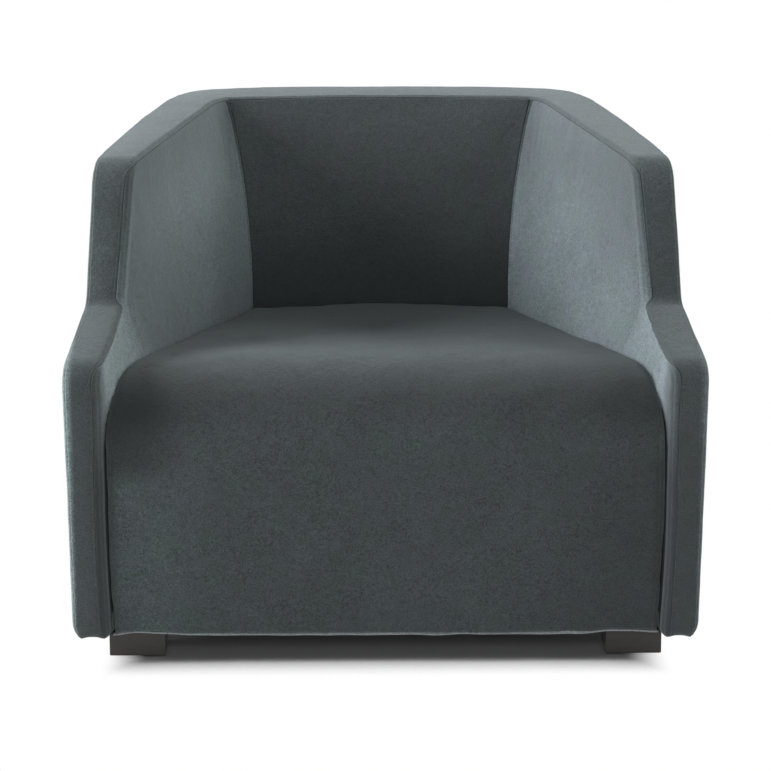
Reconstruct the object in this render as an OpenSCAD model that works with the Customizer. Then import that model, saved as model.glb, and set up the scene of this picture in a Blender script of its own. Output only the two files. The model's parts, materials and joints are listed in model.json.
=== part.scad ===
// Tub armchair with low arms that rise to wings, a raked back and a waterfall seat.
// A timber frame carries sinuous springs, webbing, boards, foam and separate sewn covers.
// X runs across the chair, Y from the front (-) to the back (+), Z up from the floor.

/* [Overall] */
// Width across the fronts of the arms
overall_w = 880; // [820:10:960]
// Depth from the arm fronts to the middle of the back
overall_d = 800; // [770:10:860]
// Height of the middle of the back
overall_h = 702; // [690:1:740]
// Height of the lower edge of the covers above the floor
hem_h = 42; // [35:1:70]

/* [Arms and wings] */
// Height of the arm at its front
arm_h = 424; // [405:1:440]
// Depth at which the arm top turns up into the wing
arm_run = 165; // [140:1:180]
// How much higher that turn is than the front of the arm
arm_rise = 57; // [45:1:85]
// Depth of the wing's shoulder
shoulder_d = 236; // [220:1:270]
// How much lower the wing's shoulder is than the middle of the back
shoulder_drop = 30; // [22:1:60]
// Thickness of the wall at the front edge of the arm
wall_t = 52; // [50:1:60]
// Thickness of the wall at the shoulder of the wing
wing_t = 58; // [56:1:75]
// How much further out the lining of a wing is hollowed near its top rear corner
wing_hollow = 13; // [5:1:16]
// Distance in front of the back seam at which that hollow is deepest
hollow_run = 43; // [35:1:60]
// Angle by which the arm turns in towards the back
arm_toe = 7.1; // [4:0.1:8]
// Angle by which the wing turns in towards the back
wing_toe = 11.4; // [9:0.1:11.8]
// Depth at which the outer face changes from the arm's angle to the wing's
toe_d = 235; // [180:1:240]
// Radius of the arm's front corner and of the shoulder, seen from the side
profile_r = 32; // [20:1:45]
// Radius of the turn between the arm top and the wing, seen from the side
kink_r = 26; // [15:1:40]

/* [Back] */
// Depth of the bow of the outer back, from its corners to its middle
back_bow = 46; // [30:1:50]
// Power of that bow: 2 is an even curve, and more keeps the middle flatter
bow_power = 3.4; // [2:0.1:4]
// Radius of the outer back corners, seen from above
corner_r = 90; // [60:5:110]
// Thickness of the back at the height of the seat, in the middle
back_wall_t = 222; // [215:1:240]
// Distance from the middle of the outer back to where the top edge levels out
shelf_run = 140; // [110:1:160]
// How much lower the top edge is there than at the middle of the back
top_fall = 2; // [1:1:8]
// Width of the inner back panel at the seat
inner_back_w = 400; // [380:1:420]
// How much wider the inner back panel is at its top
inner_back_flare = 74; // [50:1:84]
// How far the inner back leans back between the seat and its top
rake = 95; // [80:1:100]
// Depth of the hollow of the inner back at its top
inner_bow = 20; // [10:1:25]
// How far the fold between arm and wing slants forwards below the turn
fold_slant = 25; // [10:1:40]

/* [Seat] */
// Height of the seat above the front roll
seat_front_h = 408; // [395:1:415]
// Height of the seat at the back
seat_rear_h = 386; // [375:1:395]
// How far the seat front lies behind the arm fronts
seat_recess = 8; // [4:1:12]
// Depth of the front roll
roll_d = 116; // [90:1:130]
// Height of the front roll
roll_h = 108; // [90:1:125]
// Height of the underside of the seat foam
deck_h = 268; // [250:1:280]

/* [Upholstery] */
// Thickness of the cover fabric
cover_t = 1.5; // [1:0.1:2.5]
// Thickness of the foam on the outside
outer_pad_t = 8; // [6:0.5:9]
// Thickness of the foam on the front and top edges
edge_pad_t = 12; // [8:0.5:15]
// Thickness of the inner back's padding at its top
back_pad_t = 26; // [18:1:30]
// Thickness of the wadding round the seat foam
wadding_t = 20; // [12:1:24]
// Clearance between the seat and the arms
seat_clear = 0.3; // [0.2:0.1:1]

/* [Frame] */
// Thickness of the frame timbers
timber_t = 22; // [18:1:23]
// Width of the posts and rails
rail_w = 45; // [38:1:50]
// Width of the wing posts
wing_post_w = 80; // [70:1:90]
// Thickness of the hardboard panels
board_t = 3; // [2:0.5:4]
// Thickness of the front board
front_board_t = 18; // [15:1:22]
// Height of the base rails
base_rail_h = 70; // [55:1:90]
// Height of the seat rails
seat_rail_h = 68; // [55:1:80]
// Thickness of the shaped top rail of the back
former_t = 30; // [22:1:35]
// Depth by which the shaped back rails reach in between the back posts
former_lap = 22; // [15:1:30]
// Thickness of the lumbar rail
lumbar_t = 25; // [18:1:30]
// Height of the lumbar rail above the underside of the seat foam
lumbar_rise = 32; // [10:1:50]
// Depth from the inner back at the seat to the rear seat rail
rear_rail_gap = 40; // [30:1:50]
// Thickness of the corner blocks
block_t = 30; // [25:1:35]
// Width of the corner blocks
block_w = 92; // [88:1:100]
// Thickness of a glue line between two timbers
glue_line = 0.1; // [0.05:0.05:0.3]

/* [Suspension] */
// Thickness of the wire of the seat springs
wire_d = 4; // [3:0.1:4.5]
// Thickness of the steel of a spring clip
clip_t = 1; // [0.6:0.1:1.5]
// Width of a spring clip
clip_w = 14; // [10:1:18]
// Clearance of a spring in its clip
clip_clear = 0.1; // [0.05:0.05:0.3]
// Diameter of the wires that tie the springs
tie_d = 2.5; // [1.5:0.5:3]
// Width of a seat spring
spring_w = 46; // [40:1:50]
// Pitch of the bends of a seat spring
spring_pitch = 34; // [28:1:40]
// Number of seat springs
spring_count = 5; // [4:1:6]
// Distance between the outermost springs at the front board
spring_front_span = 600; // [560:10:620]
// Distance between the outermost springs at the rear seat rail
spring_rear_span = 440; // [400:10:460]
// Distance from the edge of a rail to the end of a spring
spring_end = 6; // [5:1:9]
// Thickness of the cloth over the seat springs
cloth_t = 2; // [1:0.5:3]
// Width of a webbing strap
strap_w = 50; // [40:1:60]
// Thickness of a webbing strap
strap_t = 1.6; // [1:0.1:2.5]
// Number of webbing straps
strap_count = 4; // [3:1:5]

/* [Feet] */
// Width and depth of a foot
foot_w = 78; // [70:1:90]
// Distance from the arm fronts to the front feet
foot_setback = 33; // [35:1:50]
// Distance from the side of an arm to the side of its front foot
foot_side_front = 52; // [45:1:65]
// Distance from an outer back corner to the side of its rear foot
foot_side_rear = 36; // [30:1:50]
// Distance from the middle of the back to the rear feet
foot_rear_setback = 82; // [80:1:100]
// Height of the glide under a foot
glide_h = 3; // [2:0.5:5]
// Diameter of a glide
glide_d = 40; // [30:1:50]
// Diameter of the foot bolts
bolt_d = 8; // [6:1:10]
// Radial clearance of the foot bolts in their holes
bolt_clear = 0.25; // [0.1:0.05:0.5]

/* [Hidden] */
$fn = 32;

VELVET = "#495255";
TIMBER = "#c8a878";
HARDBOARD = "#7d5a3c";
FOAM = "#e3dcc4";
WADDING = "#f2f1ec";
STEEL = "#8f949a";
ESPRESSO = "#2f2724";
BLACK = "#1d1d1f";

// Layers of a wall, measured inwards from the outer face.
pad_out = cover_t;
board_out = pad_out + outer_pad_t;
timber_out = board_out + board_t;
timber_in = timber_out + timber_t;
lining_in = timber_in + board_t;
edge_in = cover_t + edge_pad_t;
frame_h = hem_h + cover_t;
post_in = edge_in + rail_w;

// Places along the depth of the chair, and the heights at them.
half_w = overall_w / 2;
seat_depth = overall_d - back_wall_t;
kink_h = arm_h + arm_rise;
shoulder_h = overall_h - shoulder_drop;
shelf_d = overall_d - shelf_run;
shelf_h = overall_h - top_fall;
wing_post_d = arm_run + edge_in;
rear_timber_d = overall_d - back_bow - timber_out - timber_t;
back_post_d = rear_timber_d - rail_w;
board_front = seat_recess + cover_t + wadding_t;
board_rear = board_front + front_board_t;
spring_top = deck_h - cloth_t;
rail_top = spring_top - wire_d - clip_t;
rear_seat_rail_d = seat_depth + rear_rail_gap;
rear_seat_rail_end = rear_seat_rail_d + timber_t;
top_former_h = shelf_h - edge_in - former_t;
lumbar_h = deck_h + lumbar_rise;
web_low = [rear_seat_rail_end, lumbar_h];
web_high = [seat_depth + rake + inner_bow + cover_t + back_pad_t, shelf_h - edge_in];
web_angle = atan((web_high[0] - web_low[0]) / (web_high[1] - web_low[1]));
big = 2000;

// Half-width of the outer face at depth d.
function out_x(d) = half_w - min(d, toe_d) * tan(arm_toe) - max(d - toe_d, 0) * tan(wing_toe);

// Depth of the outer back at a distance x from the middle.
rear_corner_x = out_x(overall_d - back_bow);
function back_d(x) = overall_d - back_bow * pow(abs(x) / rear_corner_x, bow_power);

// Arc of radius r that rounds the corner p1 between p0 and p2.
function unit(v) = v / norm(v);
function corner_arc(p0, p1, p2, r, n) =
    let (u = unit(p0 - p1), v = unit(p2 - p1), half = acos(u * v) / 2,
        c = p1 + unit(u + v) * r / sin(half),
        s = p1 + u * r / tan(half) - c, turn = 180 - 2 * half,
        side = sign(u[0] * v[1] - u[1] * v[0]))
    [for (i = [0:n]) let (a = -side * turn * i / n)
        c + [s[0] * cos(a) - s[1] * sin(a), s[0] * sin(a) + s[1] * cos(a)]];

// A closed anticlockwise outline moved inwards by o; a negative o moves it outwards.
function line_normal(a, b) = let (u = unit(b - a)) [-u[1], u[0]];
function inset(pts, o) = let (m = len(pts)) [for (i = [0:m - 1])
    let (a = pts[(i + m - 1) % m], b = pts[i], c = pts[(i + 1) % m],
        n1 = line_normal(a, b), n2 = line_normal(b, c), k = 1 + n1 * n2)
    b + (n1 + n2) * o / k];

// Outline of [x, y, r] entries moved inwards by o, with its corners rounded in n steps.
// An outward corner has a positive r and an inward one a negative r, as they are at o = 0.
min_r = 1;
function outline(path, o, n) =
    let (m = len(path), pts = inset([for (p = path) [p[0], p[1]]], o))
    [for (i = [0:m - 1]) let (r = path[i][2])
        each r == 0 ? [pts[i]] : corner_arc(pts[(i + m - 1) % m], pts[i],
            pts[(i + 1) % m], r > 0 ? max(r - o, min_r) : o - r, n)];

// Outer outline seen from above; it runs out past the fronts of the arms.
overrun = 60;
// A cut runs past the face that it opens by this much.
past = 1;
// The bow has this many steps from its middle to where the corner's rounding may end.
bow_stations = 6;
bow_half = rear_corner_x - 0.75 * corner_r;
plan_path = concat(
    [[out_x(-overrun), -overrun, 0], [out_x(toe_d), toe_d, 0],
        [rear_corner_x, overall_d - back_bow, corner_r]],
    [for (i = [bow_stations:-1:-bow_stations])
        let (x = bow_half * i / bow_stations) [x, back_d(x), 0]],
    [[-rear_corner_x, overall_d - back_bow, corner_r],
        [-out_x(toe_d), toe_d, 0], [-out_x(-overrun), -overrun, 0]]);
function plan_points(o) = outline(plan_path, o, 5);

// Outer outline seen from the right, as depth and height, with its lower edge at low.
top_slope = (overall_h - shelf_h) / (overall_d - shelf_d);
function side_points(low, o) = outline([
    [0, low - o, 0], [overall_d + overrun, low - o, 0],
    [overall_d + overrun, overall_h + overrun * top_slope, 0],
    [shelf_d, shelf_h, 0], [shoulder_d, shoulder_h, profile_r],
    [arm_run, kink_h, -kink_r], [0, arm_h, profile_r]], o, 5);

// Inner faces: half-width and depth of the fold between arm and wing, and of the back seam.
function rise(h) = max(0, min(1.02, (h - seat_rear_h) / (overall_h - seat_rear_h)));
flare_power = 2.2;
function seam_x(h) = (inner_back_w + inner_back_flare * pow(rise(h), flare_power)) / 2;
function seam_d(h) = seat_depth + rake * pow(rise(h), 1.2);
low_fold_d = arm_run - fold_slant;
low_fold_x = half_w - wall_t
    - (half_w - wall_t - inner_back_w / 2) * low_fold_d / seat_depth;
// Above the shoulder the fold leans back by this share of its slope below.
top_lean = 0.6;
top_h = overall_h + overrun;
top_fold_d = shoulder_d + top_lean * (shoulder_d - arm_run) * (top_h - shoulder_h)
    / (shoulder_h - kink_h);
function fold_d(h) = lookup(h, [[seat_rear_h, low_fold_d], [kink_h, arm_run],
    [shoulder_h, shoulder_d], [top_h, top_fold_d]]);
function fold_x(h) = lookup(h, [[seat_rear_h, low_fold_x], [kink_h, out_x(arm_run) - wall_t],
    [shoulder_h, out_x(shoulder_d) - wing_t], [top_h, out_x(top_fold_d) - wing_t]]);

// Half-width of the wing's lining where it is hollowed, in front of the back seam.
function hollow_x(h) = seam_x(h)
    + (fold_x(h) - seam_x(h)) * hollow_run / (seam_d(h) - fold_d(h))
    + wing_hollow * pow(rise(h), flare_power);

// Right-hand half of the space between the inner faces at height h, seen from above.
// It runs past the middle, where the two halves overlap and the back is flat.
lap = 60;
function inner_points(h) = let (f = half_w - wall_t, b = inner_bow * rise(h)) [
    [f, -overrun], [f, 0], [fold_x(h), fold_d(h)],
    [hollow_x(h), seam_d(h) - hollow_run], [seam_x(h), seam_d(h)],
    [(seam_x(h) + lap) / 2, seam_d(h) + b * 0.65], [lap, seam_d(h) + b],
    [-lap, seam_d(h) + b], [-lap, -overrun]];
inner_levels = [-10, seat_rear_h, (seat_rear_h + kink_h) / 2, kink_h,
    (2 * kink_h + shoulder_h) / 3, (kink_h + 2 * shoulder_h) / 3, shoulder_h,
    overall_h + 10];

// A solid through closed outlines, all with the same number of points, one per level.
module loft(outlines, levels) {
    m = len(outlines[0]);
    k = len(levels);
    polyhedron(
        points = [for (j = [0:k - 1]) for (p = outlines[j]) [p[0], p[1], levels[j]]],
        faces = concat(
            [[for (i = [0:m - 1]) i]],
            [[for (i = [m - 1:-1:0]) (k - 1) * m + i]],
            [for (j = [0:k - 2]) for (i = [0:m - 1])
                let (a = j * m + i, b = j * m + (i + 1) % m)
                each [[a, a + m, b], [b, a + m, b + m]]]));
}

module both_sides() {
    children();
    mirror([1, 0, 0]) children();
}

// The space between the inner faces, grown outwards by o.
module cavity(o) {
    both_sides() loft([for (h = inner_levels) inset(inner_points(h), -o)], inner_levels);
}

// Wedge of the chair that holds the back, between the two back seams.
module back_sector() {
    beyond = 1.03;
    x = rear_corner_x * beyond;
    both_sides() loft([for (h = inner_levels) [[seam_x(h), seam_d(h)],
        [x, overall_d - back_bow], [x, overall_d + overrun],
        [-lap, overall_d + overrun], [-lap, seam_d(h)]]], inner_levels);
}

module plan_prism(o, low = 0, high = overall_h + overrun) {
    translate([0, 0, low])
        linear_extrude(high - low) polygon(plan_points(o));
}

// A depth-and-height outline extruded across the whole chair.
module across(points, w = overall_w + overrun) {
    rotate([90, 0, 90])
        linear_extrude(w, center = true) polygon(points);
}

module side_prism(o, low = hem_h) {
    across(side_points(low, o));
}

module slab(d0, d1, low, high) {
    translate([-half_w - overrun, d0, low])
        cube([overall_w + 2 * overrun, d1 - d0, high - low]);
}

module right_half() {
    translate([0, -overrun, 0]) cube([big, big, big]);
}

// Draws its children in the chair's own frame, with the depth measured from the arm fronts.
module place(side = "right") {
    translate([0, -overall_d / 2, 0])
        mirror([side == "left" ? 1 : 0, 0, 0]) children();
}

// Volume in front of the webbing plane, moved forwards by o.
module before_web(o) {
    translate([0, web_low[0], web_low[1]]) rotate([-web_angle, 0, 0])
        translate([-big / 2, -big - o, -big / 2]) cube([big, big, big]);
}

// Timber ring of the side walls, between the outer and the inner boards.
module timber_ring() {
    difference() {
        plan_prism(timber_out);
        plan_prism(timber_in);
    }
}

// One right-hand timber: the part of the ring inside a depth-and-height region.
module side_timber(d0, d1, low, high = overall_h) {
    color(TIMBER) intersection() {
        timber_ring();
        side_prism(edge_in, frame_h);
        slab(d0, d1, low, high);
        right_half();
    }
}

module front_post() { side_timber(edge_in, post_in, frame_h); }
module wing_post() { side_timber(wing_post_d, wing_post_d + wing_post_w, frame_h + base_rail_h); }
module back_post() { side_timber(back_post_d, rear_timber_d, frame_h); }
module base_rail() { side_timber(post_in, back_post_d, frame_h, frame_h + base_rail_h); }

// A rail that follows the top edge between two posts.
module edge_rail(d0, d1) {
    color(TIMBER) intersection() {
        timber_ring();
        difference() {
            side_prism(edge_in, frame_h);
            side_prism(post_in, -overrun);
        }
        slab(d0, d1, frame_h, overall_h);
        right_half();
    }
}

module arm_rail() { edge_rail(post_in + glue_line, wing_post_d); }
module top_rail() { edge_rail(wing_post_d + wing_post_w, back_post_d); }

// A shaped back rail: between the posts in front, out to the back board behind them.
module former(d0, low, high) {
    intersection() {
        union() {
            intersection() {
                plan_prism(timber_in);
                slab(d0, rear_timber_d, low, high);
            }
            intersection() {
                plan_prism(timber_out);
                slab(rear_timber_d, overall_d, low, high);
            }
        }
        side_prism(edge_in, frame_h);
    }
}

module rear_base_rail() {
    color(TIMBER) former(rear_timber_d - former_lap, frame_h, frame_h + rail_w);
}

module lumbar_rail() {
    color(TIMBER) difference() {
        intersection() {
            plan_prism(timber_in);
            slab(web_low[0] - overrun, rear_timber_d, lumbar_h, lumbar_h + lumbar_t);
        }
        before_web(0);
    }
}

module back_top_rail() {
    color(TIMBER) difference() {
        former(web_high[0] - overrun, top_former_h, overall_h);
        before_web(0);
        slab(0, back_post_d, top_former_h - past, overall_h);
    }
}

module front_board() {
    color(TIMBER) intersection() {
        plan_prism(timber_in);
        slab(board_front, board_rear, frame_h, rail_top);
    }
}

module seat_rail() {
    color(TIMBER) intersection() {
        difference() {
            plan_prism(timber_in);
            plan_prism(timber_in + timber_t);
        }
        slab(board_rear, back_post_d + rail_w / 2, rail_top - seat_rail_h, rail_top);
        right_half();
    }
}

module rear_seat_rail() {
    color(TIMBER) intersection() {
        plan_prism(timber_in + timber_t);
        slab(rear_seat_rail_d, rear_seat_rail_end, rail_top - seat_rail_h, rail_top);
    }
}

// Centres of the four feet, as half-width and depth.
foot_front = [half_w - foot_side_front - foot_w / 2, foot_setback + foot_w / 2];
foot_rear = [rear_corner_x - foot_side_rear - foot_w / 2,
    overall_d - foot_rear_setback - foot_w / 2];

module at_feet() {
    for (side = [-1, 1]) for (p = [foot_front, foot_rear])
        translate([side * p[0], p[1], 0]) children();
}

module foot(p) {
    bevel = 2;
    color(ESPRESSO) difference() {
        translate([p[0], p[1], glide_h]) difference() {
            translate([-foot_w / 2, -foot_w / 2, 0]) cube([foot_w, foot_w, hem_h - glide_h]);
            for (a = [0:90:270]) rotate([0, 0, a]) translate([foot_w / 2, 0, 0])
                rotate([0, 45, 0]) cube([bevel, foot_w + past, bevel], center = true);
        }
        foot_bolt_hole(p);
    }
}

// The bolts start above the glides and end above the flanges of their tee nuts.
bolt_low = glide_h + 8;
bolt_past = 4;
bolt_high = frame_h + block_t + bolt_past;
nut_flange_t = 1.6;

module foot_bolt_hole(p) {
    translate([p[0], p[1], bolt_low - past])
        cylinder(d = bolt_d + 2 * bolt_clear, h = bolt_high);
}

module foot_bolts() {
    color(STEEL) at_feet() translate([0, 0, bolt_low])
        cylinder(d = bolt_d, h = bolt_high - bolt_low);
}

nut_wall = 1.3;
nut_barrel_d = bolt_d + 2 * nut_wall;
nut_depth = 12;
nut_clear = 0.1;

module tee_nuts() {
    color(STEEL) at_feet() difference() {
        union() {
            translate([0, 0, frame_h + block_t]) cylinder(d = 3 * bolt_d, h = nut_flange_t);
            translate([0, 0, frame_h + block_t - nut_depth])
                cylinder(d = nut_barrel_d, h = nut_depth + nut_flange_t / 2);
        }
        translate([0, 0, frame_h]) cylinder(d = bolt_d + nut_clear, h = block_t + nut_depth);
    }
}

module foot_glides() {
    color(BLACK) at_feet() cylinder(d = glide_d, h = glide_h);
}

// One right-hand block: it reaches out from its foot to the side timbers.
module corner_block(p, d) {
    translate([p[0] - block_w / 2, d, frame_h]) cube([half_w, block_w, block_t]);
}

module corner_blocks() {
    color(TIMBER) difference() {
        intersection() {
            plan_prism(timber_in);
            both_sides() {
                corner_block(foot_front, board_rear);
                corner_block(foot_rear, rear_timber_d - former_lap - block_w);
            }
        }
        at_feet() translate([0, 0, frame_h - past])
            cylinder(d = bolt_d + 2 * bolt_clear, h = block_t);
        at_feet() translate([0, 0, frame_h + block_t - nut_depth - nut_clear])
            cylinder(d = nut_barrel_d + 2 * nut_clear, h = nut_depth + past);
    }
}

// Seat springs fan out from the rear seat rail to the front board.
spring_from = board_front + spring_end;
spring_run = rear_seat_rail_end - spring_end - spring_from;
spring_loops = floor(spring_run / spring_pitch);
function spread(span, i) = span * (i / (spring_count - 1) - 0.5);
function spring_lean(i) =
    atan((spread(spring_front_span, i) - spread(spring_rear_span, i)) / spring_run);
function spring_length(i) = spring_run / cos(spring_lean(i));

// Draws its children along spring i, with Y running back from its front end.
module along_spring(i) {
    translate([spread(spring_front_span, i), spring_from, rail_top])
        rotate([0, 0, spring_lean(i)]) children();
}

// One sinuous spring of flattened wire: bars joined by half-round bends at alternate ends.
module sinuous_spring(length) {
    bend = length / spring_loops / 2;
    bar = (spring_w - bend - wire_d) / 2;
    linear_extrude(wire_d) {
        for (i = [0:2 * spring_loops])
            translate([-bar, i * bend - wire_d / 2]) square([2 * bar, wire_d]);
        for (i = [0:2 * spring_loops - 1])
            translate([i % 2 == 0 ? bar : -bar, (i + 0.5) * bend]) intersection() {
                difference() {
                    circle(d = bend + wire_d);
                    circle(d = bend - wire_d);
                }
                translate([i % 2 == 0 ? 0 : -spring_w, -spring_w])
                    square([spring_w, 2 * spring_w]);
            }
    }
}

module seat_springs() {
    color(STEEL) for (i = [0:spring_count - 1])
        along_spring(i) translate([0, 0, clip_t]) sinuous_spring(spring_length(i));
}

// A steel clip that holds the end bar of a spring on its rail.
module spring_clip() {
    slot = wire_d + 2 * clip_clear;
    difference() {
        translate([-clip_w / 2, -slot / 2 - clip_t, 0])
            cube([clip_w, slot + 2 * clip_t, wire_d + clip_t]);
        translate([-clip_w, -slot / 2, clip_t]) cube([2 * clip_w, slot, 2 * wire_d]);
    }
}

module spring_clips() {
    color(STEEL) for (i = [0:spring_count - 1]) for (d = [0, spring_length(i)])
        along_spring(i) translate([0, d, 0]) spring_clip();
}

// Wires that tie the springs together from below.
module spring_tie_wires() {
    color(STEEL) for (share = [1 / 3, 2 / 3]) {
        span = spring_front_span + (spring_rear_span - spring_front_span) * share + spring_w;
        translate([-span / 2, spring_from + spring_run * share, rail_top + clip_t - tie_d / 2])
            rotate([0, 90, 0]) cylinder(d = tie_d, h = span);
    }
}

module back_webbing() {
    top_gap = 2;
    length = norm(web_high - web_low) - top_gap;
    spread = inner_back_w - strap_w;
    color(BLACK) for (i = [0:strap_count - 1])
        translate([spread * (i / (strap_count - 1) - 0.5), web_low[0], web_low[1]])
            rotate([-web_angle, 0, 0])
            translate([-strap_w / 2, -strap_t, 0]) cube([strap_w, strap_t, length]);
}

module deck_cloth() {
    color("#a58d62") intersection() {
        cavity(-seat_clear);
        slab(board_front, seat_depth - seat_clear, spring_top, deck_h);
    }
}

// Seat outline seen from the side, moved in by o; the lower and rear edges stay.
roll_power = 2.6;
roll_steps = 8;
function roll_point(a) = [
    seat_recess + roll_d * (1 - pow(cos(a), 2 / roll_power)),
    seat_front_h - roll_h + roll_h * pow(sin(a), 2 / roll_power)];
function seat_points(low, rear) = concat(
    [[seat_recess, low], [rear, low],
        [rear, seat_front_h + (seat_rear_h - seat_front_h) * (rear - seat_recess - roll_d)
            / (seat_depth - seat_recess - roll_d)]],
    [for (i = [roll_steps:-1:0]) roll_point(90 * i / roll_steps)]);

module seat_block(o, low) {
    intersection() {
        cavity(-seat_clear - o);
        across(inset(seat_points(low - o, seat_depth + overrun), o));
        slab(0, seat_depth - seat_clear, low, overall_h);
    }
}

// Height above the deck at which the seat cover ends behind the foam.
rear_tuck = 30;

module seat_cover() {
    color(VELVET) difference() {
        seat_block(0, hem_h);
        seat_block(cover_t, hem_h - overrun);
        slab(board_front, seat_depth + past, 0, deck_h);
        slab(seat_depth - seat_clear - cover_t - past, seat_depth + past, 0,
            deck_h + rear_tuck);
    }
}

module seat_wadding() {
    color(WADDING) difference() {
        seat_block(cover_t, hem_h);
        seat_block(cover_t + wadding_t, hem_h - overrun);
        slab(board_front, seat_depth + past, 0, deck_h);
    }
}

module seat_foam() {
    color(FOAM) difference() {
        seat_block(cover_t + wadding_t, hem_h);
        slab(0, seat_depth + past, 0, deck_h);
    }
}

// Lower limit of the inner upholstery: the seat deck, and the hem beside the seat front.
module above_deck() {
    union() {
        slab(-overrun, seat_depth + big / 4, deck_h, overall_h);
        slab(-overrun, board_front, hem_h, deck_h + past);
    }
}

// Wall layer between two plan insets, without the edges.
module wall_ring(a, b, edge, low) {
    intersection() {
        difference() {
            plan_prism(a);
            plan_prism(b);
        }
        side_prism(edge, low);
    }
}

module right_side_of(cut_back = true) {
    difference() {
        intersection() {
            children();
            right_half();
        }
        if (cut_back) back_sector();
    }
}

module outer_cover() {
    color(VELVET) right_side_of() wall_ring(0, pad_out, cover_t, hem_h);
}

module back_outer_cover() {
    color(VELVET) intersection() {
        wall_ring(0, pad_out, cover_t, hem_h);
        back_sector();
    }
}

module outer_pad() {
    color(WADDING) right_side_of() wall_ring(pad_out, board_out, cover_t, hem_h);
}

module back_outer_pad() {
    color(WADDING) intersection() {
        wall_ring(pad_out, board_out, cover_t, hem_h);
        back_sector();
    }
}

module outer_board() {
    color(HARDBOARD) right_side_of() wall_ring(board_out, timber_out, edge_in, frame_h);
}

module back_outer_board() {
    color(HARDBOARD) intersection() {
        wall_ring(board_out, timber_out, edge_in, frame_h);
        back_sector();
    }
}

module inner_board() {
    color(HARDBOARD) difference() {
        intersection() {
            wall_ring(timber_in, lining_in, edge_in, hem_h);
            above_deck();
            slab(0, back_post_d, 0, overall_h);
            right_half();
        }
        lumbar_rail();
    }
}

module inner_pad() {
    color(FOAM) difference() {
        intersection() {
            plan_prism(lining_in);
            side_prism(cover_t, hem_h);
            above_deck();
            right_half();
        }
        cavity(cover_t);
        back_sector();
        lumbar_rail();
        back_top_rail();
    }
}

module inner_back_pad() {
    color(FOAM) difference() {
        intersection() {
            plan_prism(lining_in);
            side_prism(edge_in, hem_h);
            slab(0, overall_d, deck_h, overall_h);
            back_sector();
            before_web(strap_t);
        }
        cavity(cover_t);
    }
}

module inner_cover() {
    color(VELVET) difference() {
        intersection() {
            cavity(cover_t);
            plan_prism(cover_t);
            side_prism(cover_t, hem_h);
            above_deck();
            right_half();
        }
        cavity(0);
        back_sector();
    }
}

module inner_back_cover() {
    color(VELVET) difference() {
        intersection() {
            cavity(cover_t);
            side_prism(cover_t, hem_h);
            slab(0, overall_d, deck_h, overall_h);
            back_sector();
        }
        cavity(0);
    }
}

// Fabric band over the front and top edges of the walls.
module edge_band() {
    color(VELVET) difference() {
        intersection() {
            plan_prism(0);
            side_prism(0, hem_h);
        }
        side_prism(cover_t, -overrun);
        cavity(0);
    }
}

// Padding over the front and top edges of the timbers.
module edge_padding() {
    difference() {
        intersection() {
            plan_prism(board_out);
            side_prism(cover_t, hem_h);
        }
        side_prism(edge_in, -overrun);
    }
}

module edge_pad() {
    color(WADDING) right_side_of() difference() {
        edge_padding();
        plan_prism(lining_in);
    }
}

module back_edge_pad() {
    color(WADDING) difference() {
        intersection() {
            edge_padding();
            back_sector();
        }
        cavity(cover_t);
    }
}

module dust_cover() {
    color(BLACK) difference() {
        intersection() {
            plan_prism(board_out, hem_h, frame_h);
            slab(board_front, overall_d, hem_h, frame_h);
        }
        at_feet() cylinder(d = bolt_d + 2 * bolt_clear, h = big);
    }
}

place("left") foot(foot_front);  // left_front_foot
place() foot(foot_front);  // right_front_foot
place("left") foot(foot_rear);  // left_rear_foot
place() foot(foot_rear);  // right_rear_foot
place() foot_glides();
place() foot_bolts();
place() tee_nuts();
place() corner_blocks();
place() front_board();
place() rear_base_rail();
place("left") base_rail();  // left_base_rail
place() base_rail();  // right_base_rail
place("left") front_post();  // left_front_post
place() front_post();  // right_front_post
place("left") wing_post();  // left_wing_post
place() wing_post();  // right_wing_post
place("left") back_post();  // left_back_post
place() back_post();  // right_back_post
place("left") arm_rail();  // left_arm_rail
place() arm_rail();  // right_arm_rail
place("left") top_rail();  // left_top_rail
place() top_rail();  // right_top_rail
place() back_top_rail();
place() lumbar_rail();
place("left") seat_rail();  // left_seat_rail
place() seat_rail();  // right_seat_rail
place() rear_seat_rail();
place("left") outer_board();  // left_outer_board
place() outer_board();  // right_outer_board
place() back_outer_board();
place("left") inner_board();  // left_inner_board
place() inner_board();  // right_inner_board
place() seat_springs();
place() spring_clips();
place() spring_tie_wires();
place() back_webbing();
place() deck_cloth();
place() seat_foam();
place() seat_wadding();
place("left") inner_pad();  // left_inner_pad
place() inner_pad();  // right_inner_pad
place() inner_back_pad();
place("left") outer_pad();  // left_outer_pad
place() outer_pad();  // right_outer_pad
place() back_outer_pad();
place("left") edge_pad();  // left_edge_pad
place() edge_pad();  // right_edge_pad
place() back_edge_pad();
place() seat_cover();
place("left") inner_cover();  // left_inner_cover
place() inner_cover();  // right_inner_cover
place() inner_back_cover();
place() edge_band();
place("left") outer_cover();  // left_outer_cover
place() outer_cover();  // right_outer_cover
place() back_outer_cover();
place() dust_cover();
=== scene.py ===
"""A tub armchair in short slate-grey velvet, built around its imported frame.

Every cover is a grid of vertices placed by formula. X runs across the chair, d is the depth
behind the fronts of the arms and z the height, all in metres.
"""
import json
import math

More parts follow.
